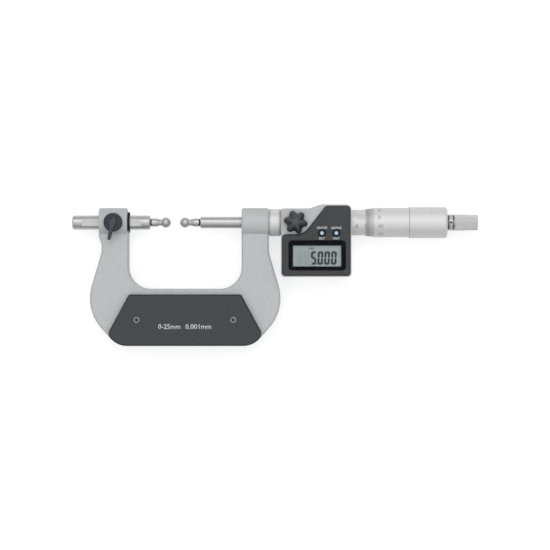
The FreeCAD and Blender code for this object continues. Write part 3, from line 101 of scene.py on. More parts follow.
def grained(name, dark, light, grain_mm, depth_mm, roughness, stretch=EVEN, mottle_mm=2.0):
    """A material whose colour drifts from dark to light over a fine grain."""
    material = bpy.data.materials.new("finish_" + name)
    FINISH[name] = material
    material.use_nodes = True
    tree = material.node_tree
    shader = shader_of(material)
    place = tree.nodes.new("ShaderNodeTexCoord")
    mapping = tree.nodes.new("ShaderNodeMapping")
    mapping.inputs["Scale"].default_value = stretch
    tree.links.new(place.outputs["Object"], mapping.inputs["Vector"])
    grain = tree.nodes.new("ShaderNodeTexNoise")
    grain.inputs["Scale"].default_value = 1 / (grain_mm * MM)
    grain.inputs["Detail"].default_value = 3.0
    tree.links.new(mapping.outputs["Vector"], grain.inputs["Vector"])
    bump = tree.nodes.new("ShaderNodeBump")
    bump.inputs["Strength"].default_value = 1.0
    bump.inputs["Distance"].default_value = depth_mm * MM
    tree.links.new(grain.outputs["Fac"], bump.inputs["Height"])
    tree.links.new(bump.outputs["Normal"], shader.inputs["Normal"])
    mottle = tree.nodes.new("ShaderNodeTexNoise")
    mottle.inputs["Scale"].default_value = 1 / (mottle_mm * MM)
    mottle.inputs["Detail"].default_value = 5.0
    tree.links.new(mapping.outputs["Vector"], mottle.inputs["Vector"])
    tone = tree.nodes.new("ShaderNodeValToRGB")
    tone.color_ramp.elements[0].position = 0.35
    tone.color_ramp.elements[0].color = (*dark, 1)
    tone.color_ramp.elements[1].position = 0.65
    tone.color_ramp.elements[1].color = (*light, 1)
    tree.links.new(mottle.outputs["Fac"], tone.inputs["Fac"])
    tree.links.new(tone.outputs["Color"], shader.inputs["Base Color"])
    sheen = tree.nodes.new("ShaderNodeMapRange")
    sheen.inputs["To Min"].default_value = roughness - 0.06
    sheen.inputs["To Max"].default_value = roughness + 0.06
    tree.links.new(mottle.outputs["Fac"], sheen.inputs["Value"])
    tree.links.new(sheen.outputs["Result"], shader.inputs["Roughness"])
    return material


# %% [markdown]
# The bow and the housing share one stoved paint, light grey with a fine orange peel. They were
# painted apart, so their greys differ by a hair, and only the colours are given twice.

# %% The paint
PAINT = {"grain_mm": 0.45, "depth_mm": 0.012, "roughness": 0.46, "mottle_mm": 1.1}
grained("frame_paint", (0.50, 0.525, 0.532), (0.56, 0.58, 0.587), **PAINT)
grained("housing_paint", (0.50, 0.522, 0.53), (0.56, 0.577, 0.583), **PAINT)
print("paints:", len(FINISH))

# %% [markdown]
# The plates, the panel and the knob are moulded in black, with the grain of their moulds, and
# the inner parts in a pale plastic. Rubber and the dark blue buttons hardly shine, so less of
# the room is mirrored in them.

# %% Plastic, rubber and felt
grained("grip_plastic", (0.022, 0.028, 0.030), (0.034, 0.041, 0.043), 0.25, 0.015, 0.48, mottle_mm=1.2)
grained("panel_plastic", (0.022, 0.025, 0.026), (0.030, 0.034, 0.035), 0.3, 0.006, 0.46)
knob_plastic = grained("knob_plastic", (0.030, 0.035, 0.037), (0.042, 0.048, 0.050), 0.3, 0.008, 0.40)
grained("inner_plastic", (0.62, 0.62, 0.58), (0.70, 0.70, 0.66), 0.4, 0.006, 0.5)
button_plastic = grained("button_plastic", (0.005, 0.015, 0.028), (0.009, 0.022, 0.038), 0.3, 0.004, 0.45)
black_rubber = grained("black_rubber", grey(0.012), grey(0.022), 0.2, 0.01, 0.6)
for dull in (button_plastic, black_rubber):
    shader_of(dull).inputs["Specular IOR Level"].default_value = 0.15
grained("felt", (0.20, 0.19, 0.17), (0.30, 0.29, 0.26), 0.12, 0.05, 0.9)
print("with plastics:", len(FINISH))

# %% [markdown]
# Turned and ground metal has marks that run round the axis, so their pattern is left fine
# along X and drawn out across it. Satin chrome, a knurl and a blackened skin scatter much of
# their light, and such a finish counts as metal only in part. The clamp is blackened, and its
# disc is given a darker copy of the finish than its lever.


# %% Steel, chrome and brass
RINGS = (1, 0.03, 0.03)


def metal(material, amount=1.0):
    """Turn a grained finish into bare metal, or partly so where its skin is matt."""
    shader = shader_of(material)
    shader.inputs["Metallic"].default_value = amount
    shader.inputs["Specular IOR Level"].default_value = 0.2
    return material


for name, dark, light, grain_mm, depth_mm, roughness, stretch, amount in (
    ("ground_steel", 0.46, 0.51, 0.06, 0.0008, 0.36, RINGS, 0.75),
    ("satin_chrome", 0.73, 0.76, 0.08, 0.0008, 0.55, RINGS, 0.4),
    ("nut_steel", 0.46, 0.52, 0.08, 0.0010, 0.45, RINGS, 0.6),
    ("knurled_steel", 0.62, 0.68, 0.15, 0.002, 0.50, EVEN, 0.5),
    ("screw_steel", 0.58, 0.68, 0.1, 0.002, 0.32, EVEN, 1.0),
    ("cell_steel", 0.60, 0.68, 0.1, 0.001, 0.25, EVEN, 1.0),
):
    metal(grained(name, grey(dark), grey(light), grain_mm, depth_mm, roughness, stretch), amount)
metal(grained("brass", (0.62, 0.44, 0.20), (0.74, 0.56, 0.28), 0.08, 0.0015, 0.32, RINGS))
lever_metal = grained("lever_metal", (0.053, 0.063, 0.071), (0.069, 0.081, 0.090), 0.3, 0.01, 0.40)
disc_metal = grained("disc_metal", (0.036, 0.043, 0.048), (0.050, 0.058, 0.065), 0.3, 0.01, 0.42)
for blackened in (lever_metal, disc_metal):
    metal(blackened, 0.7)
print("with metals:", len(FINISH))

# %% [markdown]
# The display's glass is a pale green grey, and the window over it is a clear plastic. Real
# clear plastic bends light, which is slow to work out for a pane this thin, so the pane is
# made nearly see-through instead and keeps its gloss.

# %% The display's glass, the board and the window
grained("lcd_glass", (0.44, 0.53, 0.51), (0.475, 0.565, 0.545), 1.5, 0.001, 0.35, mottle_mm=6.0)
grained("board", (0.02, 0.12, 0.05), (0.03, 0.16, 0.07), 0.3, 0.004, 0.4)
window_clear = grained("window_clear", (0.016, 0.018, 0.018), (0.022, 0.024, 0.024), 3.0, 0.0005, 0.12)
shader_of(window_clear).inputs["Alpha"].default_value = 0.08
shader_of(window_clear).inputs["IOR"].default_value = 1.49
print("finishes:", len(FINISH))

# %% [markdown]
# ## Dark depths
#
# A screw's socket looks dark, because little light finds its way out of it, and so does the
# cap nut's hole for a pin spanner. Both are too small for that to show by itself, so a finish
# is darkened wherever it lies nearer than a reach to the spindle's axis. For the nut that is
# a true distance, which leaves its outer skin bright. For the grip plate's screws only the
# height counts, which leaves their heads bright. The panel's screws are black all over.


# %% A helper for sums in a material, and one for dark depths
def worked_out(tree, operation, *values):
    """The output of a sum of numbers and other outputs."""
    node = tree.nodes.new("ShaderNodeMath")
    node.operation = operation
    for socket, value in zip(node.inputs, values):
        if isinstance(value, (int, float)):
            socket.default_value = value
        else:
            tree.links.new(value, socket)
    return node.outputs["Value"]


def darkened(material, counted, reach, dark):
    """Paint shade on a finish nearer than a reach to the axis, by the directions that are counted."""
    tree = material.node_tree
    base = shader_of(material).inputs["Base Color"]
    bright = base.links[0].from_socket
    place = tree.nodes.new("ShaderNodeTexCoord")
    flat = tree.nodes.new("ShaderNodeVectorMath")
    flat.operation = "MULTIPLY"
    flat.inputs[1].default_value = counted
    tree.links.new(place.outputs["Object"], flat.inputs[0])
    away = tree.nodes.new("ShaderNodeVectorMath")
    away.operation = "DISTANCE"
    away.inputs[1].default_value = (0.0, AXIS_Y * counted[1], AXIS_Z * counted[2])
    tree.links.new(flat.outputs["Vector"], away.inputs[0])
    mix = tree.nodes.new("ShaderNodeMix")
    mix.data_type = "RGBA"
    tree.links.new(worked_out(tree, "LESS_THAN", away.outputs["Value"], reach), mix.inputs["Factor"])
    tree.links.new(bright, mix.inputs["A"])
    mix.inputs["B"].default_value = (*dark, 1)
    tree.links.new(mix.outputs["Result"], base)


# %% The screws
HEIGHT_ONLY = (0.0, 0.0, 1.0)
PLATE_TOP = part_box("front_grip_plate")[1].z
SOCKET_REACH = PLATE_TOP - AXIS_Z - 0.5 * MM
socket_steel = metal(grained("socket_steel", (0.16, 0.165, 0.17), (0.21, 0.215, 0.22), 0.1, 0.002, 0.4))
# Painted shade in the grip plate screws' sockets, below their heads.
darkened(socket_steel, HEIGHT_ONLY, SOCKET_REACH, grey(0.045))
black_screw = grained("black_screw", (0.06, 0.063, 0.066), (0.085, 0.09, 0.094), 0.1, 0.002, 0.42)
metal(black_screw, 0.6)
print("sockets dark within %.2f mm of the axis's height" % (SOCKET_REACH / MM))

# %% [markdown]
# ## Bands
#
# Turned parts change their look along their length, and here most of that is painted on as
# light and shade: the thimble's bevel carries painted shade, darker than the drum behind it,
# the collar's joints and the seats of the ball tips hold painted shadow, and the grip and the
# cap nut are darker in bands. The grip plate's sides carry painted shade, darker than its face.
# A ramp along one direction shades a copy of a finish in such bands. Its stops are millimetres
# from a start, each with a share of light.


# %% A helper for bands
def banded(name, finish, direction, start, stops):
    """A copy of a finish that is painted darker or lighter in bands from a start along X or Z."""
    material = finish.copy()
    material.name = "finish_" + name
    tree = material.node_tree
    base = shader_of(material).inputs["Base Color"]
    plain = base.links[0].from_socket
    place = tree.nodes.new("ShaderNodeTexCoord")
    parts = tree.nodes.new("ShaderNodeSeparateXYZ")
    tree.links.new(place.outputs["Object"], parts.inputs["Vector"])
    first, last = stops[0][0], stops[-1][0]
    along = tree.nodes.new("ShaderNodeMapRange")
    along.inputs["From Min"].default_value = start + first * MM
    along.inputs["From Max"].default_value = start + last * MM
    tree.links.new(parts.outputs[direction], along.inputs["Value"])
    shade = tree.nodes.new("ShaderNodeValToRGB")
    elements = shade.color_ramp.elements
    elements[0].color = (*grey(stops[0][1]), 1)
    elements[1].color = (*grey(stops[-1][1]), 1)
    for where, share in stops[1:-1]:
        stop = elements.new((where - first) / (last - first))
        stop.color = (*grey(share), 1)
    tree.links.new(along.outputs["Result"], shade.inputs["Fac"])
    mix = tree.nodes.new("ShaderNodeMix")
    mix.data_type = "RGBA"
    mix.blend_type = "MULTIPLY"
    mix.inputs["Factor"].default_value = 1.0
    tree.links.new(plain, mix.inputs["A"])
    tree.links.new(shade.outputs["Color"], mix.inputs["B"])
    tree.links.new(mix.outputs["Result"], base)
    print(material.name, "has", len(elements), "stops from %.2f mm" % (start / MM))
    return material


# %% Bands of the thimble, its grip and the collar
# The thimble's bevel carries painted shade: it is painted darker than the drum, for the darker room that
# it mirrors.
drum_chrome = banded("drum_chrome", FINISH["satin_chrome"], "X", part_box("thimble")[0].x, (
    (-1, 0.58), (1.9, 0.60), (2.5, 0.80), (4.6, 0.84), (5.2, 1.0), (50, 1.0)
))
# The grip is darker along its first 0.3 mm.
grip_chrome = banded("grip_chrome", FINISH["satin_chrome"], "X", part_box("thimble_grip")[0].x, (
    (-1, 0.6), (0.3, 0.6), (0.45, 1.0), (50, 1.0)
))
# The collar carries painted shadow in a dark band at each joint, one with the bow and one with the
# housing.
collar_steel = banded("collar_steel", FINISH["satin_chrome"], "X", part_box("housing_body")[0].x, (
    (-20, 1.0), (-7.3, 1.0), (-7.2, 0.6), (-6.2, 0.7), (-5.8, 1.0), (-1.3, 1.0), (-0.9, 0.7),
    (0, 0.6), (0.2, 1.0), (30, 1.0)
))

# %% Bands of the ball tips and the plate
# Each ball tip is painted near black where it sits in its rod and just outside it, painted shadow in the
# groove at its seat.
anvil_tip_steel = banded("anvil_tip_steel", FINISH["ground_steel"], "X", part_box("anvil_rod")[1].x, (
    (-12, 0.04), (0.65, 0.04), (0.72, 1.0), (15, 1.0)
))
spindle_tip_steel = banded("spindle_tip_steel", FINISH["ground_steel"], "X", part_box("spindle")[0].x, (
    (-15, 1.0), (-0.85, 1.0), (-0.78, 0.04), (12, 0.04)
))
# The grip plate's sides carry painted shade, at half the brightness of its face.
rim_shaded_plastic = banded("rim_shaded_plastic", FINISH["grip_plastic"], "Z", PLATE_TOP, (
    (-8, 0.5), (-0.3, 0.5), (-0.05, 1.0), (1, 1.0)
))

# %% The cap nut, with its bands and its dark hole
nut_low, nut_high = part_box("thimble_cap_nut")
# The cap nut is darker in a band 2.7 to 3.7 mm from its end at higher X, a little brighter nearer that
# end, and darkest over its last 0.6 mm.
cap_nut_steel = banded("cap_nut_steel", FINISH["nut_steel"], "X", nut_high.x, (
    (-6, 1.0), (-3.8, 1.0), (-3.7, 0.62), (-2.7, 0.62), (-2.5, 1.1), (-0.8, 1.1), (-0.6, 0.25),
    (1, 0.25)
))
TRUE_DISTANCE = (0.0, 1.0, 1.0)
NUT_REACH = (nut_high.z - nut_low.z) / 2 - 0.12 * MM
# Painted shade on the nut wherever it lies inside its outer skin, as in its hole for the spanner.
darkened(cap_nut_steel, TRUE_DISTANCE, NUT_REACH, grey(0.03))
print("the nut is dark within %.2f mm of the axis" % (NUT_REACH / MM))

# %% [markdown]
# ## Dressing the solid parts
#
# The record names a material slot for each node, and the finishes above carry the same names,
# so one loop dresses all of them. A second one gives its own finish to each node that has
# bands or needs a darker look than its slot says.

# %% Give each node its finish
SLOT_OF = {part["node"]: part["material_slot"] for part in frame["record"]["subparts"]}
for name, part in nodes.items():
    part.data.materials.clear()
    part.data.materials.append(FINISH[SLOT_OF[name]])
for name, finish in (
    ("front_grip_plate", rim_shaded_plastic),
    ("grip_plate_screws", socket_steel),
    ("panel_screws", black_screw),
    ("thimble_cap_nut", cap_nut_steel),
    ("thimble", drum_chrome),
    ("thimble_grip", grip_chrome),
    ("anvil_ball_tip", anvil_tip_steel),
    ("spindle_ball_tip", spindle_tip_steel),
    ("guide_tube", collar_steel),
):
    nodes[name].data.materials[0] = finish
print("dressed", len(nodes), "nodes")

# %% [markdown]
# ## Working by hand
#
# Small pieces start from a primitive and are shaped in edit mode, so a few helpers do what the
# hand and eye do there: pick the corners, edges or faces that lie in one place, and give a
# finished piece its material and its body. A piece's place is applied to its mesh at once, so
# places in edit mode are the real ones.


# %% Helpers for edit mode
def started(name):
    """Name the object that was just added and put its place into its mesh."""
    piece = bpy.context.active_object
    piece.name = name
    piece.data.name = name
    bpy.ops.object.transform_apply(location=True, rotation=True, scale=True)
    return piece


def pick(piece, kind, test):
    """In edit mode, select what passes a test of its place and its direction."""
    bpy.ops.mesh.select_mode(type=kind)
    bpy.ops.mesh.select_all(action="DESELECT")
    mesh = bmesh.from_edit_mesh(piece.data)
    if kind == "VERT":
        for vert in mesh.verts:
            vert.select_set(test(vert.co, vert.normal))
    elif kind == "EDGE":
        for edge in mesh.edges:
            first, second = (vert.co for vert in edge.verts)
            edge.select_set(test((first + second) / 2, (second - first).normalized()))
    else:
        for face in mesh.faces:
            face.select_set(test(face.calc_center_median(), face.normal))
    bmesh.update_edit_mesh(piece.data)


def upwards(middle, normal):
    """A test for faces that look straight up."""
    return normal.z > 0.9


# %% Helpers for finished pieces
def thicken(piece, thickness):
    """Give a flat piece a thickness outwards, as a layer of ink has."""
    layer = piece.modifiers.new("layer", "SOLIDIFY")
    layer.thickness = thickness
    layer.offset = 1.0
    bpy.context.view_layer.objects.active = piece
    bpy.ops.object.modifier_apply(modifier="layer")


def finished(piece, body, material, smooth_degrees=None):
    """Give a piece its finish and its body, and let go of it."""
    piece.data.materials.clear()
    piece.data.materials.append(material)
    if smooth_degrees is not None:
        bpy.ops.object.select_all(action="DESELECT")
        piece.select_set(True)
        bpy.context.view_layer.objects.active = piece
        bpy.ops.object.shade_smooth_by_angle(angle=math.radians(smooth_degrees))
    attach(piece, body)
    bpy.ops.object.select_all(action="DESELECT")
    print(piece.name, "faces:", len(piece.data.polygons))


def joined(pieces, name):
    """Join several pieces into one and name it."""
    bpy.ops.object.select_all(action="DESELECT")
    for piece in pieces:
        piece.select_set(True)
    bpy.context.view_layer.objects.active = pieces[0]
    bpy.ops.object.join()
    whole = bpy.context.active_object
    whole.name = name
    whole.data.name = name
    return whole


# %% [markdown]
# ## The window
#
# A display window is a clear pane with a black border printed on its underside, which hides
# the edge of the display. A rounded plane with its middle cut out makes the border, and the
# pane above it is a slab with rounded corners and a polished rim.

# %% The pane
window_low, window_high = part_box("display_window")
WINDOW_X = (window_low.x + window_high.x) / 2
WINDOW_Y = (window_low.y + window_high.y) / 2
WINDOW_SIZE = window_high - window_low
CORNER = 2.0 * MM
BORDER_INK = 0.05 * MM
pane_height = WINDOW_SIZE.z - BORDER_INK
bpy.ops.mesh.primitive_cube_add(
    size=1,
    location=(WINDOW_X, WINDOW_Y, window_high.z - pane_height / 2),
    scale=(WINDOW_SIZE.x, WINDOW_SIZE.y, pane_height),
)
window_pane = started("window_pane")
bpy.ops.object.mode_set(mode="EDIT")
pick(window_pane, "EDGE", lambda middle, way: abs(way.z) > 0.9)
bpy.ops.mesh.bevel(offset=CORNER, segments=6)
pick(window_pane, "FACE", upwards)
bpy.ops.mesh.bevel(offset=0.2 * MM, segments=3)
bpy.ops.object.mode_set(mode="OBJECT")
finished(window_pane, "root", window_clear, 35)
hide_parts("display_window")

# %% The printed border
LIT_X = (61.0 * MM, 88.2 * MM)
LIT_Y = (30.2 * MM, 42.0 * MM)
mask_ink = grained("mask_ink", (0.0025, 0.0025, 0.003), (0.004, 0.004, 0.005), 0.4, 0.0005, 0.5)
shader_of(mask_ink).inputs["Specular IOR Level"].default_value = 0.05
bpy.ops.mesh.primitive_plane_add(size=1, location=(WINDOW_X, WINDOW_Y, window_low.z))
bpy.context.active_object.scale = (WINDOW_SIZE.x, WINDOW_SIZE.y, 1)
window_border = started("window_border")
bpy.ops.object.mode_set(mode="EDIT")
bpy.ops.mesh.select_mode(type="VERT")
bpy.ops.mesh.select_all(action="SELECT")
bpy.ops.mesh.bevel(offset=CORNER, segments=6, affect="VERTICES")
for cut_x in LIT_X:
    bpy.ops.mesh.select_all(action="SELECT")
    bpy.ops.mesh.bisect(plane_co=(cut_x, 0, 0), plane_no=(1, 0, 0))
for cut_y in LIT_Y:
    bpy.ops.mesh.select_all(action="SELECT")
    bpy.ops.mesh.bisect(plane_co=(0, cut_y, 0), plane_no=(0, 1, 0))
pick(window_border, "FACE", lambda middle, normal: (
    LIT_X[0] < middle.x < LIT_X[1] and LIT_Y[0] < middle.y < LIT_Y[1]
))
bpy.ops.mesh.delete(type="FACE")
bpy.ops.object.mode_set(mode="OBJECT")
thicken(window_border, BORDER_INK)
finished(window_border, "root", mask_ink)

# %% [markdown]
# ## The display's figures
#
# Liquid crystal figures are bars with pointed ends. One bar is a circle of six corners with
# its upper half pulled up, and a shoulder that lies on the outside of the figure is drawn out,
# so that two bars meet in a full corner. Seven bars make a figure: bars that are lit are dark,
# and bars that are off show only as a faint ghost.


# %% One bar
LCD_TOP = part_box("lcd_module")[1].z
BAR = 1.2 * MM
ACROSS_FLATS = 1.732  # of a hexagon whose corners lie on a circle of radius 1
BAR_RADIUS = BAR / ACROSS_FLATS
SHOULDER = 0.6 * MM
LEAN = 0.05


def bar(length, x, y, across, shoulders=()):
    """A bar with its middle at x and y, and the shoulders of the named sides drawn out."""
    bpy.ops.mesh.primitive_circle_add(
        vertices=6, radius=BAR_RADIUS, fill_type="NGON", location=(0, 0, LCD_TOP)
    )
    piece = started("bar")
    bpy.ops.object.mode_set(mode="EDIT")
    pick(piece, "VERT", lambda place, normal: place.y > 0)
    bpy.ops.transform.translate(value=(0, length - 2 * BAR_RADIUS, 0))
    middle = length / 2 - BAR_RADIUS
    for side, end in shoulders:
        pick(piece, "VERT", lambda place, normal: (
            side * place.x > BAR / 4 and end * (place.y - middle) > 0
        ))
        bpy.ops.transform.translate(value=(0, end * SHOULDER, 0))
    bpy.ops.object.mode_set(mode="OBJECT")
    piece.location = (0, -middle, 0)
    bpy.ops.object.transform_apply(location=True)
    piece.rotation_euler.z = math.radians(90) if across else -LEAN
    piece.location = (x + y * LEAN, y, 0)
    return piece


# %% A whole figure
FIGURE_HIGH = 7.55 * MM
FIGURE_WIDE = 3.2 * MM
SLIT = 0.1 * MM
BARS_OF = {"0": "abcdef", "5": "acdfg", "8": "abcdefg"}


def figure(bars, left, bottom):
    """The named bars of one figure: a is the top one, then clockwise, g is the middle."""
    high = FIGURE_HIGH - BAR
    wide = FIGURE_WIDE - BAR
    upright = high / 2 - SLIT
    flat = wide - SLIT
    middle = left + FIGURE_WIDE / 2
    # Each bar's length, x and y, whether it lies across, and its shoulders as side and end.
    places = {
        "a": (flat, middle, high, True, ((1, 1), (1, -1))),
        "b": (upright, middle + wide / 2, high * 0.75, False, ((1, 1),)),
        "c": (upright, middle + wide / 2, high * 0.25, False, ((1, -1),)),
        "d": (flat, middle, 0, True, ((-1, 1), (-1, -1))),
        "e": (upright, middle - wide / 2, high * 0.25, False, ((-1, -1),)),
        "f": (upright, middle - wide / 2, high * 0.75, False, ((-1, 1),)),
        "g": (flat, middle, high / 2, True),
    }
    made = []
    for name in bars:
        piece = bar(*places[name])
        piece.location.y += bottom + BAR / 2
        bpy.ops.object.transform_apply(location=True, rotation=True)
        made.append(piece)
    return made


# %% The reading, 5.000
READING = "5000"
FIRST_LEFT = 70.9 * MM
PITCH = 3.8 * MM
FIGURE_BOTTOM = LIT_Y[0] + 1.0 * MM
POINT_RADIUS = 0.42 * MM
LIT_LAYER = 0.03 * MM
lcd_dark = grained("lcd_dark", (0.014, 0.022, 0.020), (0.024, 0.034, 0.031), 0.5, 0.001, 0.4)
lit_bars = []
for place, sign in enumerate(READING):
    lit_bars += figure(BARS_OF[sign], FIRST_LEFT + place * PITCH, FIGURE_BOTTOM)
bpy.ops.mesh.primitive_circle_add(
    vertices=12,
    radius=POINT_RADIUS,
    fill_type="NGON",
    location=(FIRST_LEFT + PITCH - 0.3 * MM, FIGURE_BOTTOM + POINT_RADIUS, LCD_TOP),
)
lit_bars.append(started("point"))
lcd_reading = joined(lit_bars, "lcd_reading")
thicken(lcd_reading, LIT_LAYER)
finished(lcd_reading, "root", lcd_dark)

# %% Bars that are off
THIN_LAYER = 0.02 * MM
lcd_ghost = grained("lcd_ghost", (0.395, 0.475, 0.455), (0.41, 0.49, 0.47), 0.5, 0.001, 0.4)
unlit = []
for place, bars in ((-2, BARS_OF["8"]), (-1, BARS_OF["8"]), (0, "be"), (1, "g"), (2, "g"), (3, "g")):
    unlit += figure(bars, FIRST_LEFT + place * PITCH, FIGURE_BOTTOM)
lcd_unlit = joined(unlit, "lcd_unlit")
thicken(lcd_unlit, THIN_LAYER)
finished(lcd_unlit, "root", lcd_ghost)

# %% [markdown]
# ## Lettering
#
# The words beside the buttons and the range on the grip plate are printed in white, and the
# display has one small grey word. Text is made a mesh first. Then it is measured, brought to
# its real place and size, and given the thickness of a layer of ink.


# %% A helper for flat lettering
def lettering(name, words, x_from, x_to, y_from, y_to, height, weight=0.0):
    """Words as a flat mesh that fills a rectangle at a height, bolder for more weight."""
    bpy.ops.object.text_add(location=(0, 0, 0))
    bpy.context.active_object.data.body = words
    bpy.context.active_object.data.resolution_u = 2
    bpy.context.active_object.data.offset = weight
    bpy.ops.object.convert(target="MESH")
    piece = bpy.context.active_object
    xs = [vert.co.x for vert in piece.data.vertices]
    ys = [vert.co.y for vert in piece.data.vertices]
    wide = (x_to - x_from) / (max(xs) - min(xs))
    high = (y_to - y_from) / (max(ys) - min(ys))
    piece.scale = (wide, high, 1)
    piece.location = (x_from - min(xs) * wide, y_from - min(ys) * high, height)
    return started(name)


# %% White words at the buttons
white_ink = grained("white_ink", (0.58, 0.60, 0.61), (0.66, 0.68, 0.69), 0.5, 0.001, 0.5)
PANEL_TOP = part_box("display_panel")[1].z
button_low, button_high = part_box("unit_button")
BUTTON_Y = (button_low.y + button_high.y) / 2
LEFT_X = 77.35
RIGHT_X = 85.45
OVER_BUTTON = (2.2, 3.65)
UNDER_BUTTON = (-3.65, -2.2)
for name, words, middle, wide, (low, high) in (
    ("label_on_off", "ON/OFF", LEFT_X, 6.0, OVER_BUTTON),
    ("label_abs_inc", "ABS/INC", RIGHT_X, 6.2, OVER_BUTTON),
    ("label_set", "SET", LEFT_X, 3.5, UNDER_BUTTON),
    ("label_unit", "UNIT", RIGHT_X, 3.8, UNDER_BUTTON),
):
    x_from, x_to = (middle - wide / 2) * MM, (middle + wide / 2) * MM
    label = lettering(
        name, words, x_from, x_to, BUTTON_Y + low * MM, BUTTON_Y + high * MM, PANEL_TOP, 0.03
    )
    thicken(label, THIN_LAYER)
    finished(label, "root", white_ink)

# %% White words on the grip plate
RANGE_LOW = AXIS_Y - 60.4 * MM
RANGE_HIGH = AXIS_Y - 57.5 * MM
for name, words, x_from, x_to in (
    ("plate_range", "0-25mm", -15.1 * MM, -2.6 * MM),
    ("plate_step", "0.001mm", 0.3 * MM, 14.9 * MM),
):
    label = lettering(name, words, x_from, x_to, RANGE_LOW, RANGE_HIGH, PLATE_TOP, 0.02)
    thicken(label, THIN_LAYER)
    finished(label, "root", white_ink)

# %% The small word in the display
WORD_LOW = LIT_Y[1] - 2.2 * MM
WORD_HIGH = LIT_Y[1] - 1.0 * MM
lcd_grey = grained("lcd_grey", (0.14, 0.16, 0.15), (0.16, 0.18, 0.17), 0.5, 0.001, 0.4)
lcd_words = lettering("lcd_words", "ABS", 69.7 * MM, 73.1 * MM, WORD_LOW, WORD_HIGH, LCD_TOP, 0.03)
thicken(lcd_words, THIN_LAYER)
finished(lcd_words, "root", lcd_grey)

# %% [markdown]
# ## Scales on the sleeve and the thimble
#
# The sleeve has a line along it with a mark for each millimetre above it and for each half
# below, and numbers every five. The thimble has fifty marks round its bevel. A mark has to
# follow the curve, so it is laid flat above the metal, sliced into narrow strips, dropped on
# to the surface by a shrinkwrap and given the thickness of ink. Then it is turned about the
# axis to its place.


# %% Helpers that lay a flat piece on round metal
SLICE = 0.35 * MM
SCALE_INK = 0.025 * MM


def turned(piece, degrees):
    """Turn a piece about the spindle's axis, upwards in the view for a positive angle."""
    middle = Vector((0, AXIS_Y, AXIS_Z))
    turn = Matrix.Rotation(math.radians(-degrees), 4, "X")
    piece.matrix_world = Matrix.Translation(middle) @ turn @ Matrix.Translation(-middle)
    bpy.ops.object.select_all(action="DESELECT")
    piece.select_set(True)
    bpy.context.view_layer.objects.active = piece
    bpy.ops.object.transform_apply(location=True, rotation=True, scale=True)


def laid_round(piece, metal_node, length, turn_degrees):
    """Drop a flat piece on a round node from above and turn it about the axis."""
    bpy.ops.object.mode_set(mode="EDIT")
    slices = max(2, round(length / SLICE))
    for step in range(1, slices):
        bpy.ops.mesh.select_all(action="SELECT")
        cut = AXIS_Y - length / 2 + length * step / slices
        bpy.ops.mesh.bisect(plane_co=(0, cut, 0), plane_no=(0, 1, 0))
    bpy.ops.object.mode_set(mode="OBJECT")
    drop = piece.modifiers.new("drop", "SHRINKWRAP")
    drop.target = nodes[metal_node]
    drop.wrap_method = "PROJECT"
    drop.use_project_z = True
    drop.use_negative_direction = True
    drop.use_positive_direction = False
    bpy.context.view_layer.objects.active = piece
    bpy.ops.object.modifier_apply(modifier="drop")
    thicken(piece, SCALE_INK)
    turned(piece, turn_degrees)


def strip(name, x_middle, wide, long, above):
    """A flat strip centred over the axis, ready to be laid down."""
    bpy.ops.mesh.primitive_plane_add(size=1, location=(x_middle, AXIS_Y, AXIS_Z + above))
    bpy.context.active_object.scale = (wide, long, 1)
    return started(name)


def numbered(value, x_from, wide, tall, above):
    """A number that lies flat over the axis, ready to be laid down."""
    return lettering(
        "number", str(value), x_from, x_from + wide, AXIS_Y - tall / 2, AXIS_Y + tall / 2, AXIS_Z + above
    )


# %% The sleeve's line and marks
sleeve_ink = grained("sleeve_ink", grey(0.10), grey(0.16), 0.3, 0.001, 0.5)
ZERO_X = 97.3 * MM
LINE_ANGLE = 20
LINE_WIDE = 0.12 * MM
SLEEVE_OVER = SLEEVE_RADIUS + 0.3 * MM
line = strip("line", ZERO_X + 13 * MM, 27 * MM, LINE_WIDE, SLEEVE_OVER)
laid_round(line, "graduated_sleeve", LINE_WIDE, LINE_ANGLE)
marks = [line]
for half in range(0, 51):
    if half % 10 == 0:
        side, long = 1, 2.2 * MM
    elif half % 2 == 0:
        side, long = 1, 1.7 * MM
    else:
        side, long = -1, 1.2 * MM
    mark = strip("mark", ZERO_X + half * 0.5 * MM, LINE_WIDE, long, SLEEVE_OVER)
    away = math.degrees((long + LINE_WIDE) / 2 / SLEEVE_RADIUS)
    laid_round(mark, "graduated_sleeve", long, LINE_ANGLE + side * away)
    marks.append(mark)
sleeve_scale = joined(marks, "sleeve_scale")
finished(sleeve_scale, "root", sleeve_ink)

# %% The sleeve's numbers
SLEEVE_NUMBER = 2.2 * MM
SLEEVE_NUMBER_ANGLE = -18
numbers = []
for value in range(0, 30, 5):
    wide = (1.3 if value < 10 else 2.7) * MM
    number = numbered(value, ZERO_X + value * MM - wide / 2, wide, SLEEVE_NUMBER, SLEEVE_OVER)
    laid_round(number, "graduated_sleeve", SLEEVE_NUMBER, SLEEVE_NUMBER_ANGLE)
    numbers.append(number)
sleeve_numbers = joined(numbers, "sleeve_numbers")
finished(sleeve_numbers, "root", sleeve_ink)

# %% The thimble's marks
thimble_ink = grained("thimble_ink", grey(0.20), grey(0.27), 0.3, 0.001, 0.5)
THIMBLE_OVER = THIMBLE_RADIUS + 0.3 * MM
MARKS_X = 103.6 * MM
MARK_WIDE = 0.16 * MM
MARK_TURN = 7.2
marks = []
for step in range(50):
    long = (3.3 if step % 5 == 0 else 2.5) * MM
    mark = strip("mark", MARKS_X + long / 2, long, MARK_WIDE, THIMBLE_OVER)
    laid_round(mark, "thimble", MARK_WIDE, LINE_ANGLE + step * MARK_TURN)
    marks.append(mark)
thimble_scale = joined(marks, "thimble_scale")
finished(thimble_scale, "spindle", thimble_ink)

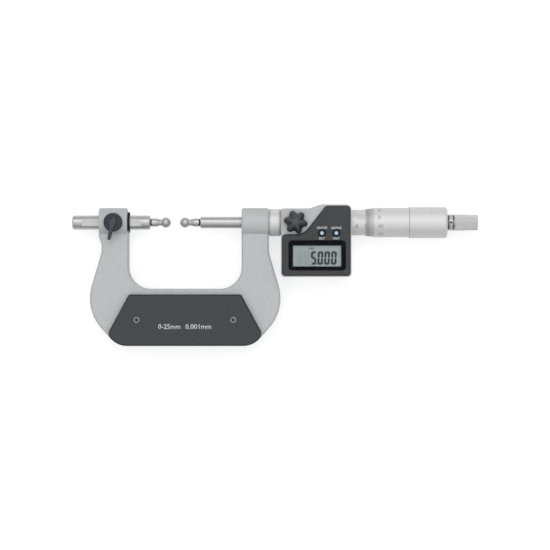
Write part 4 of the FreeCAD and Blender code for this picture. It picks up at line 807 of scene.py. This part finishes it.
# %% The thimble's numbers
NUMBERS_X = 109.2 * MM
THIMBLE_NUMBER = 2.3 * MM
numbers = []
for value in range(0, 50, 5):
    wide = (1.5 if value < 10 else 3.1) * MM
    number = numbered(value, NUMBERS_X, wide, THIMBLE_NUMBER, THIMBLE_OVER)
    laid_round(number, "thimble", THIMBLE_NUMBER, LINE_ANGLE + value * MARK_TURN)
    numbers.append(number)
thimble_numbers = joined(numbers, "thimble_numbers")
finished(thimble_numbers, "spindle", thimble_ink)

# %% [markdown]
# ## The highlights on the buttons
#
# Each button carries a slightly domed spot in its middle, coloured pale blue as a painted
# highlight. A sphere's lower part is cut away level with the dish it sits in, and what is left
# is pressed flat.

# %% The painted highlights
# A pale blue painted highlight, laid on each button's middle.
highlight_blue = grained("highlight_blue", (0.46, 0.60, 0.72), (0.56, 0.70, 0.80), 0.3, 0.002, 0.25)
DOT_RADIUS = 1.05 * MM
DOT_HIGH = 0.3 * MM
DISH = 0.15 * MM
for name, body in (("on_off_dot", "on_off_button"), ("unit_dot", "unit_button")):
    button_low, button_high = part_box(body)
    middle = (button_low + button_high) / 2
    seat = Vector((middle.x, middle.y, button_high.z - DISH))
    bpy.ops.mesh.primitive_uv_sphere_add(
        segments=24, ring_count=12, radius=DOT_RADIUS, location=seat
    )
    dot = started(name)
    bpy.ops.object.mode_set(mode="EDIT")
    bpy.ops.mesh.select_all(action="SELECT")
    bpy.ops.mesh.bisect(plane_co=seat, plane_no=(0, 0, 1), clear_inner=True, use_fill=True)
    bpy.ops.mesh.select_all(action="SELECT")
    bpy.ops.transform.resize(value=(1, 1, DOT_HIGH / DOT_RADIUS), center_override=seat)
    bpy.ops.object.mode_set(mode="OBJECT")
    finished(dot, body, highlight_blue, 60)

# %% [markdown]
# ## The star knob
#
# A moulded knob with six lobes locks the spindle. Its crown runs out along each lobe as a
# ridge and sinks between them. A drum of twenty-four sides is a good start: every fourth
# side edge is a lobe's tip, the one midway between two tips a valley, and the rest are flanks.
# Each kind is moved in or out on its own: tips first, then flanks, then valleys.


# %% Helpers that find the knob's corners
knob_low, knob_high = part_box("spindle_lock_knob")
KNOB = (knob_low + knob_high) / 2
LOBE_ANGLE = -10


def from_centre(place):
    """How far a place is from the knob's own axis."""
    return math.hypot(place.x - KNOB.x, place.y - KNOB.y)


def turns_from_lobe(place):
    """How many steps of fifteen degrees a place is from the nearest lobe's middle."""
    angle = math.degrees(math.atan2(place.y - KNOB.y, place.x - KNOB.x)) - LOBE_ANGLE
    off = (angle + 30) % 60 - 30
    return round(abs(off) / 15)


def reach_to(piece, low, high, radii):
    """Put the corners between two heights at one radius for each kind."""
    for kind, radius in enumerate(radii):
        pick(piece, "VERT", lambda place, normal: (
            low < place.z < high and turns_from_lobe(place) == kind
        ))
        corners = [vert.co for vert in bmesh.from_edit_mesh(piece.data).verts if vert.select]
        grow = radius / max(from_centre(corner) for corner in corners)
        bpy.ops.transform.resize(value=(grow, grow, 1), center_override=(KNOB.x, KNOB.y, 0))


# %% The knob's drum and its six lobes
STAR_LOW = knob_high.z - 4.9 * MM
RIM_HIGH = knob_high.z - 2.0 * MM
TINY = 0.01 * MM
RIM_REACH = (7.0 * MM, 6.6 * MM, 4.3 * MM)
bpy.ops.mesh.primitive_cylinder_add(
    vertices=24,
    radius=6.0 * MM,
    depth=RIM_HIGH - STAR_LOW,
    location=(KNOB.x, KNOB.y, (RIM_HIGH + STAR_LOW) / 2),
    rotation=(0, 0, math.radians(LOBE_ANGLE)),
)
star_knob = started("star_knob")
bpy.ops.object.mode_set(mode="EDIT")
reach_to(star_knob, 0, 1, RIM_REACH)
print("tips, flanks and valleys reach", ["%.1f mm" % (reach / MM) for reach in RIM_REACH])

# %% [markdown]
# The top face is drawn up in two steps, first to a small star and then to a flat middle. The
# rim of the drum is raised a little at the tips and dropped at the flanks and the valleys, so
# that the crown slopes down between the lobes.

# %% The knob's crown
CROWN_REACH = (3.4 * MM, 2.6 * MM, 2.1 * MM)
pick(star_knob, "FACE", upwards)
bpy.ops.mesh.extrude_region_move(TRANSFORM_OT_translate={"value": (0, 0, 1.7 * MM)})
reach_to(star_knob, RIM_HIGH + TINY, 1, CROWN_REACH)
pick(star_knob, "FACE", upwards)
bpy.ops.mesh.extrude_region_move(TRANSFORM_OT_translate={"value": (0, 0, 0.3 * MM)})
bpy.ops.transform.resize(value=(0.55, 0.55, 1), center_override=(KNOB.x, KNOB.y, 0))
for kind, drop in ((0, -0.3 * MM), (1, 1.3 * MM), (2, 2.1 * MM)):
    pick(star_knob, "VERT", lambda place, normal: (
        abs(place.z - RIM_HIGH) < TINY and turns_from_lobe(place) == kind
    ))
    bpy.ops.transform.translate(value=(0, 0, -drop))
print("crown %.2f mm above the rim" % ((knob_high.z - RIM_HIGH) / MM))

# %% [markdown]
# Below, the star steps in to a neck, and a thinner stem runs on down to the plug that locks
# the spindle. Each step is an inset and an extrusion, and a last inset keeps the stem's end
# flat when the knob is rounded.

# %% The knob's neck and stem
NECK = 1.8 * MM
NECK_REACH = (4.0 * MM, 4.0 * MM, 3.5 * MM)
SKIN = 0.02 * MM
pick(star_knob, "FACE", lambda middle, normal: normal.z < -0.9)
bpy.ops.mesh.inset(thickness=0.25 * MM)
bpy.ops.mesh.extrude_region_move(TRANSFORM_OT_translate={"value": (0, 0, -SKIN)})
reach_to(star_knob, 0, STAR_LOW - TINY, NECK_REACH)
pick(star_knob, "FACE", lambda middle, normal: (
    normal.z < -0.9 and middle.z < STAR_LOW - TINY and abs(middle.x - KNOB.x) < TINY
))
bpy.ops.mesh.extrude_region_move(TRANSFORM_OT_translate={"value": (0, 0, SKIN - NECK)})
bpy.ops.mesh.inset(thickness=1.3 * MM)
bpy.ops.mesh.extrude_region_move(TRANSFORM_OT_translate={"value": (0, 0, knob_low.z - STAR_LOW + NECK)})
bpy.ops.mesh.inset(thickness=0.2 * MM)
print("stem %.2f mm below the star" % ((STAR_LOW - knob_low.z) / MM))

# %% [markdown]
# A subdivision rounds it all, but alone it would melt the six ridges, so each one's edge is
# given a crease first. The crown catches the light and the lower parts lie in shade, so the
# knob's plastic is banded by height.

# %% Round it off and give it its finish
pick(star_knob, "EDGE", lambda middle, way: (
    middle.z > RIM_HIGH
    and way.z ** 2 < 0.3
    and turns_from_lobe(middle) == 0
    and abs(way.cross(middle - KNOB).z) < 0.1 * MM
))
bpy.ops.transform.edge_crease(value=0.75)
bpy.ops.object.mode_set(mode="OBJECT")
round_off = star_knob.modifiers.new("round_off", "SUBSURF")
round_off.levels = 2
round_off.render_levels = 2
bpy.ops.object.modifier_apply(modifier="round_off")
knob_crown = banded("knob_crown", knob_plastic, "Z", knob_high.z, (
    (-6, 0.25), (-3.4, 0.25), (-1.9, 0.5), (-0.9, 1.25), (0, 1.5)
))
finished(star_knob, "spindle_lock_knob", knob_crown, 60)
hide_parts("spindle_lock_knob")
print("knob reach %.2f mm" % (max(from_centre(vert.co) for vert in star_knob.data.vertices) / MM))

# %% [markdown]
# ## The clamp lever
#
# A blackened steel lever clamps the anvil. It stands on a round disc, and its root spreads
# over the disc like an arrowhead. The disc is a drum with a rounded rim and a sunken face.
# The lever is drawn out of a small block in both directions, narrower with each pull, and
# its top is inset and raised, so that sloping flanks catch the light.

# %% The disc
CLAMP_X = -40.6 * MM
DISC_RADIUS = 5.3 * MM
DISC_LOW = AXIS_Z + 8.4 * MM
DISC_HIGH = AXIS_Z + 11.3 * MM
bpy.ops.mesh.primitive_cylinder_add(
    vertices=64,
    radius=DISC_RADIUS,
    depth=DISC_HIGH - DISC_LOW,
    location=(CLAMP_X, AXIS_Y, (DISC_HIGH + DISC_LOW) / 2),
)
clamp_disc = started("clamp_disc")
bpy.ops.object.mode_set(mode="EDIT")
pick(clamp_disc, "FACE", upwards)
bpy.ops.mesh.bevel(offset=0.7 * MM, segments=4)
pick(clamp_disc, "FACE", lambda middle, normal: normal.z > 0.9 and middle.z > DISC_HIGH - TINY)
bpy.ops.mesh.inset(thickness=0.5 * MM)
bpy.ops.mesh.extrude_region_move(TRANSFORM_OT_translate={"value": (0, 0, -0.3 * MM)})
bpy.ops.mesh.inset(thickness=0.2 * MM)
bpy.ops.object.mode_set(mode="OBJECT")
finished(clamp_disc, "anvil_lock_lever", disc_metal, 35)
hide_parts("anvil_lock_lever")


# %% The lever's block and its pulls
ARM_LOW = DISC_HIGH - 0.8 * MM
ARM_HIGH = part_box("anvil_lock_lever")[1].z - 0.55 * MM
bpy.ops.mesh.primitive_cube_add(
    size=1,
    location=(CLAMP_X, AXIS_Y, (ARM_LOW + ARM_HIGH) / 2),
    scale=(4.4 * MM, 1.0 * MM, ARM_HIGH - ARM_LOW),
)
clamp_lever = started("clamp_lever")
bpy.ops.object.mode_set(mode="EDIT")


def pull(piece, direction, length, narrow):
    """Extrude the end that faces up or down the view, and narrow the new end."""
    far = max(direction * vert.co.y for vert in bmesh.from_edit_mesh(piece.data).verts)
    pick(piece, "FACE", lambda middle, normal: (
        direction * normal.y > 0.9 and direction * middle.y > far - TINY
    ))
    bpy.ops.mesh.extrude_region_move(TRANSFORM_OT_translate={"value": (0, direction * length, 0)})
    bpy.ops.transform.resize(value=(narrow, 1, 1), center_override=(CLAMP_X, AXIS_Y, 0))


for direction, length, narrow in (
    (1, 3.0 * MM, 0.2),
    (-1, 4.3 * MM, 0.52),
    (-1, 4.9 * MM, 0.78),
    (-1, 0.6 * MM, 0.6),
):
    pull(clamp_lever, direction, length, narrow)
print("lever drawn out in 4 pulls")

# %% The lever's flanks, and its turn on the disc
LEVER_ANGLE = -13
pick(clamp_lever, "FACE", upwards)
bpy.ops.mesh.inset(thickness=0.42 * MM)
bpy.ops.transform.translate(value=(0, 0, 0.5 * MM))
bpy.ops.mesh.select_all(action="SELECT")
bpy.ops.mesh.normals_make_consistent(inside=False)
bpy.ops.object.mode_set(mode="OBJECT")
soften = clamp_lever.modifiers.new("soften", "BEVEL")
soften.width = 0.15 * MM
soften.segments = 2
soften.limit_method = "ANGLE"
bpy.ops.object.modifier_apply(modifier="soften")
lever_middle = Vector((CLAMP_X, AXIS_Y, 0))
swing = Matrix.Rotation(math.radians(LEVER_ANGLE), 4, "Z")
clamp_lever.matrix_world = Matrix.Translation(lever_middle) @ swing @ Matrix.Translation(-lever_middle)
bpy.ops.object.transform_apply(location=True, rotation=True, scale=True)
finished(clamp_lever, "anvil_lock_lever", lever_metal, 40)
lever_tip = min(vert.co.y for vert in clamp_lever.data.vertices)
print("lever tip at Y %.2f mm from the axis" % ((lever_tip - AXIS_Y) / MM))

# %% [markdown]
# ## The studio
#
# The tool lies on its back and the camera looks straight down on it from far off, as the
# photograph does. Its lens follows from the width that the picture shows at the height of the
# axis. A soft lamp towards the top of the picture draws the bright line on the ground steel,
# and the room around it lights the rest evenly.

# %% Camera
CAMERA_X = 50.9 * MM
CAMERA_Y = 25.4 * MM
CAMERA_HEIGHT = 1.5
VIEW_WIDE = 312.5 * MM
camera_data = bpy.data.cameras.new("camera")
camera = bpy.data.objects.new("camera", camera_data)
bpy.context.scene.collection.objects.link(camera)
camera.location = (CAMERA_X, CAMERA_Y, AXIS_Z + CAMERA_HEIGHT)
camera_data.sensor_width = 36.0
camera_data.lens = camera_data.sensor_width * CAMERA_HEIGHT / VIEW_WIDE
camera_data.clip_end = 20.0
bpy.context.scene.camera = camera
print("lens %.1f mm" % camera_data.lens)

# %% The lamp
LAMP_PLACE = Vector((CAMERA_X - 0.1, AXIS_Y + 1.1, 1.8))
LAMP_AIM = Vector((CAMERA_X, AXIS_Y, 0))
lamp_data = bpy.data.lights.new("window_light", "AREA")
lamp_data.size = 0.9
lamp_data.energy = 5.0
lamp = bpy.data.objects.new("window_light", lamp_data)
bpy.context.scene.collection.objects.link(lamp)
lamp.location = LAMP_PLACE
lamp.rotation_mode = "QUATERNION"
lamp.rotation_quaternion = (LAMP_AIM - LAMP_PLACE).to_track_quat("-Z", "Y")
print("lamp %.2f m from the tool" % (LAMP_AIM - LAMP_PLACE).length)

# %% [markdown]
# The room is brightest overhead and dims towards the floor, which gives round metal its bright
# middle and darker edges. Each direction is compared with a line that tips slightly to the top
# of the picture, and its light is a dim base and a share that grows with the square of how
# well they agree.

# %% The room
ROOM_LINE = (0.0, 0.17, 0.985)
ROOM_SHARE = 1.12
ROOM_BASE = 0.26
world = bpy.data.worlds.new("room")
bpy.context.scene.world = world
world.use_nodes = True
room = world.node_tree
room_light = room.nodes["Background"]
direction = room.nodes.new("ShaderNodeTexCoord")
agree = room.nodes.new("ShaderNodeVectorMath")
agree.operation = "DOT_PRODUCT"
agree.inputs[1].default_value = ROOM_LINE
room.links.new(direction.outputs["Generated"], agree.inputs[0])
above = worked_out(room, "MAXIMUM", agree.outputs["Value"], 0.0)
squared = worked_out(room, "POWER", above, 2.0)
strength = worked_out(room, "MULTIPLY_ADD", squared, ROOM_SHARE, ROOM_BASE)
room_light.inputs["Color"].default_value = (1, 1, 1, 1)
room.links.new(strength, room_light.inputs["Strength"])
print("room from %.2f at the sides to %.2f overhead" % (ROOM_BASE, ROOM_BASE + ROOM_SHARE))

# %% [markdown]
# The floor is matt white paper. To be as white as the photograph's background, it gives off a
# little light of its own, but only to rays that come from the camera or by way of metal or
# glass, so nothing on the tool is lit by it and its shadow stays.

# %% The floor
PAPER = 0.48
PAPER_GLOW = 0.68
bpy.ops.mesh.primitive_plane_add(size=8.0, location=(CAMERA_X, AXIS_Y, 0))
floor = bpy.context.active_object
floor.name = "floor"
paper = bpy.data.materials.new("paper")
paper.use_nodes = True
paper_tree = paper.node_tree
paper_shader = shader_of(paper)
paper_shader.inputs["Base Color"].default_value = (*grey(PAPER), 1)
paper_shader.inputs["Roughness"].default_value = 0.9
paper_shader.inputs["Emission Color"].default_value = (1, 1, 1, 1)
ray = paper_tree.nodes.new("ShaderNodeLightPath").outputs
seen = worked_out(paper_tree, "MAXIMUM", ray["Is Camera Ray"], ray["Is Glossy Ray"])
seen_too = worked_out(paper_tree, "MAXIMUM", seen, ray["Is Transmission Ray"])
glow = worked_out(paper_tree, "MULTIPLY", seen_too, PAPER_GLOW)
paper_tree.links.new(glow, paper_shader.inputs["Emission Strength"])
floor.data.materials.append(paper)
bpy.context.scene.view_settings.view_transform = "Standard"
print("paper", PAPER, "with a glow of", PAPER_GLOW)
